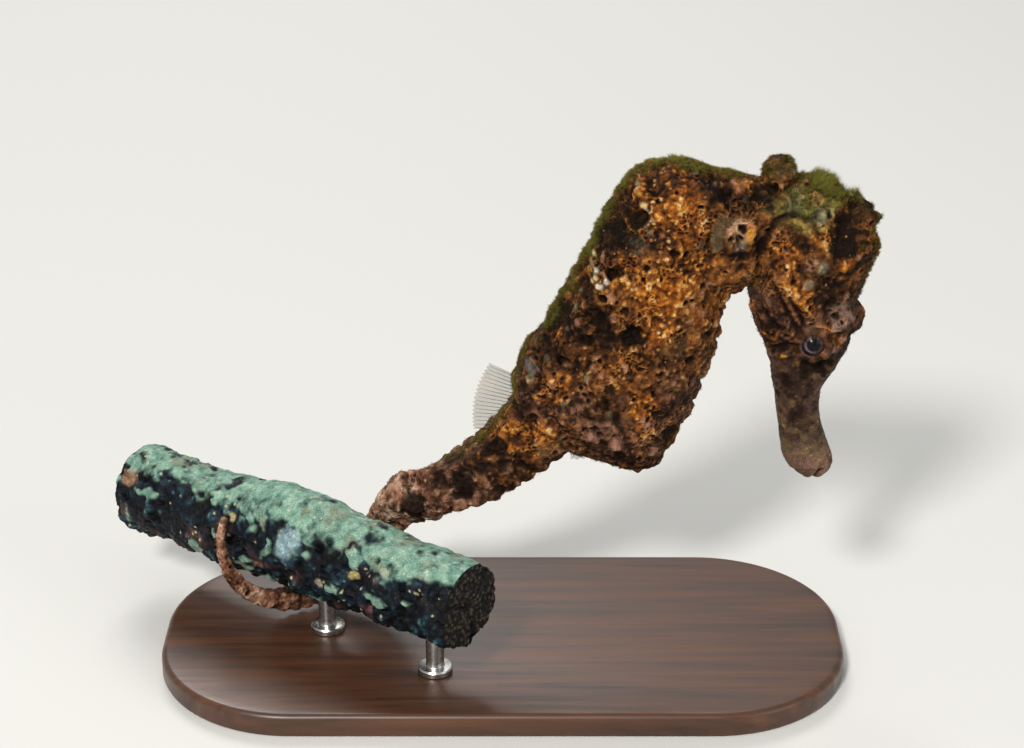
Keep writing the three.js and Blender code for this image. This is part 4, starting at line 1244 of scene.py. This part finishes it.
def make_coat(skin):
    """Tufts of threads rooted in the skin, in pieces that run from head to tail."""
    density, length = coat_density(skin)
    pick = RANDOM.choice(len(density), TUFTS, p=density / density.sum())
    pick = pick[np.argsort(skin.part[pick] * 1000 + skin.row[pick])]
    jitter = RANDOM.normal(0, 0.06, (TUFTS, 3))
    normal = unit(skin.normal[pick] * 0.4 + skin.calm_normal[pick])
    root = skin.point[pick] + jitter - (jitter * normal).sum(1, keepdims=True) * normal
    flat = 0.35 + 0.5 * RANDOM.random((TUFTS, 1)) + 0.8 * (1 - skin.green[pick])[:, None]
    aim = unit(normal + skin.lie[pick] * flat * 0.8 + RANDOM.normal(0, 0.22, (TUFTS, 3)))

    tuft = np.repeat(np.arange(TUFTS), THREADS_PER_TUFT)
    place, total = pick[tuft], len(tuft)
    start = root[tuft] + RANDOM.normal(0, 0.07, (total, 3)) - normal[tuft] * 0.05
    grow = unit(aim[tuft] + RANDOM.normal(0, 0.3, (total, 3)) + normal[tuft] * 0.25)
    bend = unit(grow + skin.lie[place] * 0.7 + RANDOM.normal(0, 0.45, (total, 3)))
    long = length[place] * RANDOM.uniform(0.55, 1.25, total)
    points = threads(start, grow, bend, long, RANDOM.uniform(0.014, 0.028, total))

    shade = layered(
        OLIVE,
        (MOSS, RANDOM.random(total)),
        (srgb(104, 66, 32), (RANDOM.random(total) < 0.4) * 0.85),
        (srgb(172, 158, 100), (RANDOM.random(total) < 0.06) * 0.7),
    )
    green = np.clip(skin.green[place] * 1.4, 0.1, 1)
    tone = layered(skin.colour[place], (shade, green * 0.85))
    low, high = tone * 0.65, layered(tone * 1.4, (srgb(168, 166, 74), green * 0.75))
    along = THREAD_PATCH[:, 1][None, :, None]
    colour = low[:, None] * (1 - along) + high[:, None] * along

    spot = np.empty((TUFTS, 2))
    for part in PARTS:
        mine = skin.part[pick] == part
        spot[mine] = unwrapped(part, skin.row[pick][mine], skin.angle[pick][mine])
    uv = spot[tuft][:, None, :] + (THREAD_PATCH[None] - 0.5) * PATCH_SIZE

    look = tinted_material("algal_turf", (0.5, 0.8), 12000, 0.2, 0.00001, Specular_IOR_Level=0.06)
    cuts = np.linspace(0, TUFTS, COAT_PIECES + 1).astype(int) * THREADS_PER_TUFT
    for k, (first, end) in enumerate(zip(cuts, cuts[1:])):
        flat_points, flat_colour, flat_uv = (
            block[first:end].reshape(-1, block.shape[-1]) for block in (points, colour, uv)
        )
        numbers = np.arange(end - first)[:, None, None] * len(THREAD_PATCH)
        faces = (numbers + THREAD_FACES).reshape(-1, 3)
        assert len(faces) < MOST_TRIANGLES
        name = "turf_%d" % (k + 1)
        add_piece(name, flat_points, faces, look, "skin", (), flat_colour, flat_uv[faces])
    print("coat", total, "threads", total * len(THREAD_FACES), "triangles")


# ---- Eyes ----

EYE_TILT = 0.16


def make_eyes():
    """A bulging ball with a dark pupil, a dull mauve edge, a rayed iris and a wet surface."""
    look, tree, shader = new_material(
        "eye_surface", Roughness=0.4, Specular_IOR_Level=0.1, Coat_Weight=0.16, Coat_Roughness=0.08
    )
    tree.links.new(tint_of(tree), shader.inputs["Base Color"])
    rows, columns = 90, 120
    polar, around = np.linspace(0.0, math.pi, rows)[:, None], angles(columns)[None, :]
    r = EYE["radius"] - 0.02 + 0.06 * smooth(0.5, 0.1, polar)  # the lens stands out a little
    x, z = r * np.sin(polar) * np.cos(around), r * np.sin(polar) * np.sin(around)
    y = r * np.cos(polar) * np.ones_like(around)
    c, s = math.cos(EYE_TILT), math.sin(EYE_TILT)
    y, z = y * c - z * s, z * c + y * s

    away, turn = np.repeat(polar * EYE["radius"], columns), np.tile(angles(columns), rows)
    flat = np.stack([away * np.cos(turn), away * np.sin(turn), np.zeros(len(away))], axis=1)
    streaks = np.sin(9 * turn + 2.6 * noise(flat, 0.4, 5)) + 0.7 * noise(flat, 0.22, 6)
    crescent = 0.05 + 0.65 * smooth(0.3, 1.0, -np.cos(turn - 0.7))
    colour = layered(
        srgb(34, 20, 18),
        (srgb(120, 72, 48), smooth(0.0, 0.9, streaks) * 0.5),
        (srgb(150, 126, 150), bell(away - 0.86, 0.13) * crescent),
        (srgb(20, 13, 12), smooth(1.05, 1.25, away) * 0.8),
        (srgb(5, 4, 7), smooth(0.78, 0.68, away)),
    )
    for side, sign in (("left", 1), ("right", -1)):
        ball = np.stack([EYE["x"] + x, MEDIAN + sign * (EYE["off"] + y), EYE["z"] + z], axis=-1)
        points, faces = ball.reshape(-1, 3), grid_faces(rows, columns)
        add_piece("eye_ball_" + side, points, faces, look, "eye", ("eye_" + side,), colour)


# ---- Fins ----

# name, width of the root, reach, half the spread, rays, way out, way along the root, its middle
FINS = [
    ("dorsal", 6.2, 4.5, 0.22, 17, (-0.9, 0, 0.2), (0.5, 0, 0.9), (1.3, MEDIAN, 29.6)),
    ("anal", 1.4, 2.5, 0.3, 4, (0.3, 0, -0.95), (1, 0, 0.3), (7.9, MEDIAN, 25.4)),
    ("pectoral_left", 2.1, 3.6, 0.4, 14, (-0.85, 0.5, 0.1), (0.1, 0, 1), (23.8, MEDIAN + 3.9, 50.4)),
    ("pectoral_right", 2.1, 3.6, 0.4, 14, (-0.85, -0.5, 0.1), (0.1, 0, 1), (23.8, MEDIAN - 3.9, 50.4)),
]
WEB_HALF = 0.025  # half the web's thickness
RAY_RADII = 0.045, 0.018  # at root and tip


def make_fin(name, root, reach, spread, rays, way_out, way_along, middle, web_look, ray_look):
    """A thin pleated fan with a tapered ray along each fold."""
    out_axis = unit(np.array(way_out, float))
    along_axis = np.array(way_along, float)
    along_axis = unit(along_axis - (along_axis @ out_axis) * out_axis)
    across_axis = np.cross(out_axis, along_axis)

    def fan(t, out):
        """Points at shares t across the fan and out along it."""
        angle = (t - 0.5) * 2 * spread
        notch = 0.94 + 0.06 * np.abs(np.cos(math.pi * t * rays))
        far = reach * 0.97 * (0.86 + 0.14 * np.sin(math.pi * t)) * notch * out
        pleat = 0.09 * np.cos(TURN * t * rays) * out + 0.1 * np.sin(2.2 * math.pi * t + 2.5 * out) * out**2
        along = (t - 0.5) * root + far * np.sin(angle)
        outward = out_axis * (far * np.cos(angle))[:, None]
        return np.array(middle) + outward + along_axis * along[:, None] + across_axis * pleat[:, None]

    rows, columns = 26, rays * 8 + 1
    out = np.repeat(np.linspace(0.0, 1, rows), columns)
    sheet = fan(np.tile(np.linspace(0, 1, columns), rows), out)
    points = np.vstack([sheet + across_axis * WEB_HALF, sheet - across_axis * WEB_HALF])
    quads, count = grid_faces(rows, columns, closed=False), rows * columns
    number = np.arange(count).reshape(rows, columns)
    border = np.concatenate([number[0, :], number[1:, -1], number[-1, -2::-1], number[-2:0:-1, 0]])
    following = np.roll(border, -1)
    rim = np.stack([border, following, following + count, border + count], axis=1)
    colour = layered(
        srgb(132, 108, 62),
        (srgb(176, 154, 102), patchy(-0.4, 0.4, points, 0.9, 51)),
        (OLIVE, smooth(1.0, 0.3, np.tile(out, 2)) * 0.65),
    )
    faces = np.vstack([quads[:, ::-1], quads + count, rim])
    add_piece(name + "_web", points, faces, web_look, "fin", ("fin_" + name,), colour)

    stations, around = 14, angles(7)[:, None]
    circle = np.cos(around) * along_axis + np.sin(around) * across_axis
    radii = np.linspace(*RAY_RADII, stations)[:, None, None]
    bones = []
    for k in range(rays):
        line = fan(np.full(stations, (k + 0.5) / rays), np.linspace(0.0, 0.985, stations))
        bones.append(tube(line[:, None, :] + circle * radii))
    points, faces = joined(bones)
    colour = layered(srgb(104, 76, 48), (srgb(156, 126, 86), smooth(-0.3, 0.5, noise(points, 0.5, 9))))
    add_piece(name + "_rays", points, faces, ray_look, "fin", (), colour)


def make_fins():
    web_look = tinted_material("fin_web", (0.35, 0.55), 5000, 0.15, 0.00001, Alpha=0.24)
    ray_look = tinted_material("fin_ray", (0.4, 0.6), 5000, 0.2, 0.00001, Alpha=0.55)
    for fin in FINS:
        make_fin(*fin, web_look, ray_look)


# ---- The rope ----

ROPE_INSET = 0.35  # from the solid's cut ends to the piece's
LAY = 0.13  # how far the strands turn in a millimetre
ROPE_BAND = 0.1, 0.65  # bottom and height of the rope's band in its unwrap
# Patches on the rope, partly growths and partly painted highlights on the wet crust, such as the large
# bluish-white one: along it, angle past its top, radius, colour
GROWTHS_AND_HIGHLIGHTS = [
    (-6.5, -1.0, 2.0, srgb(186, 220, 228)), (-15.0, -0.9, 0.6, srgb(226, 208, 150)),
    (2.5, -1.2, 0.7, srgb(224, 206, 140)), (-2.0, -1.7, 0.6, srgb(206, 196, 168)),
    (-31.0, -0.9, 1.4, srgb(196, 150, 120)), (6.5, -0.9, 0.7, srgb(200, 206, 180)),
    (-11.0, -1.9, 0.8, srgb(150, 110, 96)), (4.0, -2.0, 1.2, srgb(136, 92, 96)),
]
DEPTHS = (
    (0.0, srgb(4, 4, 9)), (0.3, srgb(14, 24, 36)), (0.48, srgb(38, 72, 84)),
    (0.7, srgb(132, 160, 142)), (0.95, srgb(206, 212, 180)),
)
RUSTS = ((0.0, srgb(20, 14, 16)), (0.4, srgb(92, 66, 64)), (0.9, TAN))
SILTS = ((0.0, srgb(72, 100, 92)), (0.4, srgb(134, 180, 160)), (0.75, srgb(178, 216, 194)), (1.0, PALE))


def strand_at(along, angle):
    """0 in the grooves between the three strands, 1 along their tops."""
    return np.abs(np.cos(1.5 * (angle - along * LAY)))


def signed(angle):
    """The same angle, from minus half a turn to half a turn."""
    return (angle + math.pi) % TURN - math.pi


def rope_surface(along, angle):
    """Radius and colour of laid strands under crust, and of the silt over the rope's top."""
    plain = rope_point(along, angle, np.full(len(along), ROPE["radius"]))
    warp = drift(plain, 1.5, 240)
    past_top = signed(angle - 0.1)
    mound = bell(along + 8.5, 7) * bell(past_top, 0.8)
    # silt is ragged at its edge, and lies further down the near side towards the front
    border = 0.62 + 0.3 * smooth(-12, 8, along) + 0.62 * clouds(plain, 2.6, 213)
    border += 0.25 * clouds(plain, 0.8, 214, 2) + 0.7 * mound
    silt = smooth(border + 0.1, border - 0.1, np.abs(past_top))
    silt = np.maximum(silt, 0.9 * patchy(0.28, 0.42, plain + warp * 0.4, 2.0, 216))
    open_crust = 1 - silt
    big, _, _ = cells(plain + warp * 0.5, 2.6, 202)
    mid, _, mid_name = cells(plain + warp * 0.3, 1.15, 203)
    grain, _, grain_name = cells(plain + warp * 0.1, 0.5, 212)
    fine = 1 - smooth(0.1, 0.7, grain)
    hole = patchy(0.2, 0.5, plain + warp * 0.3, 1.3, 217) * open_crust
    crust = 0.6 * (0.65 - smooth(0, 0.8, big)) + 0.14 * fine * grain_name - 0.55 * hole
    crust += 0.42 * ((1 - smooth(0, 0.75, mid)) * (0.35 + 0.65 * mid_name) - 0.2)
    blanket = 0.22 + 0.26 * clouds(plain, 1.1, 205) + 0.05 * fine * grain_name
    bare = patchy(0.1, -0.3, plain, 5.0, 204) * open_crust
    laid = 0.5 * (strand_at(along, angle) ** 0.45 - 0.75) + 0.05 * np.sin(5.2 * along + 9 * angle)
    wide = 0.8 * (0.03 * np.sin(0.37 * along + 2 * angle) + 0.025 * np.sin(0.9 * along - angle))
    radius = ROPE["radius"] * (0.94 + wide) + 1.5 * mound
    radius += crust * open_crust + blanket * silt + bare * laid
    radius = np.minimum(radius, ROPE["radius"] * (1.0 + wide) + 1.65 * mound + 0.2)
    end = np.minimum(along + ROPE["left"], ROPE["right"] - along)
    radius *= 1 - 0.06 * smooth(1.6, ROPE_INSET, end)

    speckle = (grain_name - 0.5) * fine
    # painted light and shade: raised crust lumps lighter, holes and low places darker
    tone = 0.22 + 0.45 * crust + 0.42 * clouds(plain, 0.8, 207) + 0.34 * speckle
    dust = 0.5 + 0.5 * clouds(plain, 0.6, 210) + 0.45 * speckle
    sandy = patchy(0.1, 0.45, plain + warp * 0.5, 2.6, 218, 4) * 0.6
    colour = layered(
        ramp(tone, *DEPTHS),
        (ramp(tone, *RUSTS), patchy(0.1, 0.4, plain, 2.8, 208) * smooth(-0.9, -1.5, past_top) * 0.8),
        (layered(ramp(dust, *SILTS), (srgb(142, 136, 110), sandy)),
         silt * patchy(-0.55, -0.1, plain, 1.4, 209) * 0.95),
    )
    uneven = 1 + 0.5 * clouds(plain, 1.0, 220)
    for at, turn_at, size, shade in GROWTHS_AND_HIGHLIGHTS:
        away = np.hypot(along - at, signed(angle - turn_at) * ROPE["radius"]) * uneven
        colour = layered(colour, (shade, smooth(size, 0.5 * size, away) * (0.6 + 0.35 * fine)))
    flecks = smooth(0.34, 0.2, grain) * (grain_name > 0.95) * 0.9
    return radius, layered(colour, (srgb(232, 220, 170), flecks))


def make_rope_end(label, at, sense, border, angle, look):
    """A cut end: three bundles of yarn ends behind a ragged face, inside a border of points."""
    share = np.linspace(1, 0.0, 40)[:-1]
    columns = len(border)
    middle = ROPE_CENTRE + ROPE_ALONG * at
    flat = (middle + (border - middle)[None] * share[:, None, None]).reshape(-1, 3)
    fibre, _, fibre_name = cells(flat, 0.5, 231)
    reach = np.repeat(share, columns)
    seam = smooth(0.0, 0.35, strand_at(at, np.tile(angle, len(share)))) * 0.8 + 0.2
    out = (0.16 * (1 - smooth(0, 0.7, fibre)) + 0.12 * (fibre_name - 0.5)) * smooth(1.0, 0.92, reach)
    out = np.clip(out - 0.45 * (1 - seam * smooth(0.0, 0.3, reach)), -0.6, ROPE_INSET - 0.05)
    flat = flat + ROPE_ALONG * (sense * out)[:, None]
    colour = layered(srgb(24, 26, 28), (srgb(88, 78, 62), (1 - smooth(0.1, 0.6, fibre)) * seam))
    last = np.arange(len(flat) - columns, len(flat))
    fan = np.stack([last, np.roll(last, -1), np.full(columns, len(flat))], axis=1)
    faces = [block[:, ::-sense] for block in (grid_faces(len(share), columns), fan)]
    points = np.vstack([flat, flat[last].mean(0)])
    add_piece("rope_end_" + label, points, faces, look, "rope", (), np.vstack([colour, colour[-1:]]))


def make_rope():
    """Three laid strands under silt and growth, with cut, slightly frayed ends."""
    look = tinted_material("rope_look", (0.35, 0.8), 6500, 0.5, 0.00009, Specular_IOR_Level=0.16)
    rows, columns = ((400, 280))
    left, right = ROPE_INSET - ROPE["left"], ROPE["right"] - ROPE_INSET
    along = np.repeat(np.linspace(left, right, rows), columns)
    angle = np.tile(angles(columns), rows)
    radius, colour = rope_surface(along, angle)
    points = rope_point(along, angle, radius)
    faces = grid_faces(rows, columns)[:, ::-1]
    bottom, height = ROPE_BAND
    v = bottom + height * over_cut(angle[faces]) / TURN
    uv = np.stack([(along[faces] + ROPE["left"]) / 50, v], axis=-1)
    add_piece("rope", points, faces, look, "rope", ("perch_rope",), colour, uv)
    make_rope_end("left", left, -1, points[:columns], angles(columns), look)
    make_rope_end("right", right, 1, points[-columns:], angles(columns), look)


# ---- The stand ----

EDGE = 0.7  # radius of the base's eased upper edge


def make_stand():
    """A stained wooden base with an eased edge, and two brushed rods in it."""
    top, corner, steps = BASE["height"], BASE["corner"], 40
    # how far in from the edge, and height
    profile = [(0.5, 0.0), (0.15, 0.12), (0.0, 0.45)]
    ease = np.linspace(0, math.pi / 2, 9)
    profile += [(EDGE * (1 - math.cos(a)), top - EDGE * (1 - math.sin(a))) for a in ease]
    profile += [(1.4, top), (4.0, top), (12.0, top)]
    around = np.concatenate([np.linspace(0, math.pi / 2, steps) + k * math.pi / 2 for k in range(4)])
    x = np.repeat((1, -1, -1, 1), steps) * (BASE["length"] / 2 - corner)
    y = np.repeat((1, 1, -1, -1), steps) * (BASE["width"] / 2 - corner)
    rings = turned([(corner - inset, z) for inset, z in profile], x, y, around)
    base = add_piece("base", *tube(rings), wood_material(), "stand", ("stand_base",))
    base.data.set_sharp_from_angle(angle=math.radians(40))

    steel, shaft = steel_material(), ROD["radius"] - 0.02
    # radius and height of the rod, the collar on the base and the rod's upper end
    outline = [
        (shaft, 1.4), (shaft, 2.62), (1.75, 2.62), (1.85, 2.72), (1.85, 3.2), (1.72, 3.36),
        (1.05, 3.42), (shaft, 3.5), (shaft, ROPE_CENTRE[2] - 3.4),
    ]
    for label, stop in zip(("left", "right"), ROD["stops"]):
        x, y, _ = ROPE_CENTRE + ROPE_ALONG * stop
        rings = turned(outline, x, y, angles(64))
        rod = add_piece("rod_" + label, *tube(rings), steel, "rod", ("stand_rod_" + label,))
        rod.data.set_sharp_from_angle(angle=math.radians(35))


def wood_material():
    material, tree, shader = new_material("dark_wood")
    grain = noise_of(tree, 1.0, 6, 0.62, distortion=0.4, stretch=(40, 620, 300))
    shaded(tree, shader, grain, srgb(38, 24, 17), srgb(92, 58, 38), 0.3, 0.72)
    tree.links.new(ranged(tree, grain, 0.3, 0.7, 0.42, 0.3), shader.inputs["Roughness"])
    bumped(tree, shader, grain, 0.00003, 0.6)
    return material


def steel_material():
    material, tree, shader = new_material("brushed_steel", Metallic=1.0)
    fine = noise_of(tree, 3000, 3)
    shaded(tree, shader, fine, srgb(164, 164, 162), srgb(204, 204, 200))
    tree.links.new(ranged(tree, fine, 0.3, 0.7, 0.24, 0.36), shader.inputs["Roughness"])
    return material


# ---- Room, light and camera ----

FLOOR_HALF = 3000.0
AIM = Vector((4, 0, 33)) * MM  # what the lamps point at
# name, place and diameter in metres, watts, colour
LAMPS = [
    ("key", (-0.16, -0.42, 0.42), 0.11, 3.4, (1.0, 0.96, 0.9)),
    ("fill", (0.5, -0.3, 0.26), 0.4, 0.8, (1.0, 0.98, 0.96)),
    ("rim", (-0.1, 0.45, 0.5), 0.3, 2.0, (1.0, 0.98, 0.95)),
]
# millimetres, but for the angle
CAMERA = {
    "target": (1, 1, 33), "elevation": math.radians(24), "distance": 253.87, "lens": 85, "sensor": 36,
}


def look_at(thing, place, target):
    thing.location = place
    thing.rotation_euler = (target - Vector(place)).to_track_quat("-Z", "Y").to_euler()


def make_room():
    grey = (*srgb(206, 207, 205), 1)
    material, _, _ = new_material("plain_floor", Base_Color=grey, Roughness=0.85, Specular_IOR_Level=0.2)
    corners = [(x * FLOOR_HALF, y * FLOOR_HALF, 0) for x, y in ((-1, -1), (1, -1), (1, 1), (-1, 1))]
    floor = add_mesh("floor", corners, np.array([(0, 1, 2, 3)]), material)

    world = bpy.data.worlds.new("studio")
    world.use_nodes = True
    put(world.node_tree.nodes["Background"], Color=(0.92, 0.91, 0.89, 1), Strength=0.5)
    bpy.context.scene.world = world

    for name, place, size, power, colour in LAMPS:
        light = bpy.data.lights.new(name, "AREA")
        light.shape = "DISK"
        light.size = size
        light.energy = power
        light.color = colour
        lamp = placed(name, light)
        look_at(lamp, place, AIM)


def make_camera():
    target, elevation = Vector(CAMERA["target"]) * MM, CAMERA["elevation"]
    camera = bpy.data.cameras.new("camera")
    camera.lens = CAMERA["lens"]
    camera.sensor_width = CAMERA["sensor"]
    camera.clip_start = 0.01
    holder = placed("camera", camera)
    away = Vector((0, -math.cos(elevation), math.sin(elevation))) * CAMERA["distance"] * MM
    look_at(holder, target + away, target)
    bpy.context.scene.camera = holder
    bpy.context.scene.view_settings.view_transform = "Standard"


make_camera()
make_room()
make_coat(make_skin())
make_eyes()
make_fins()
make_rope()
make_stand()
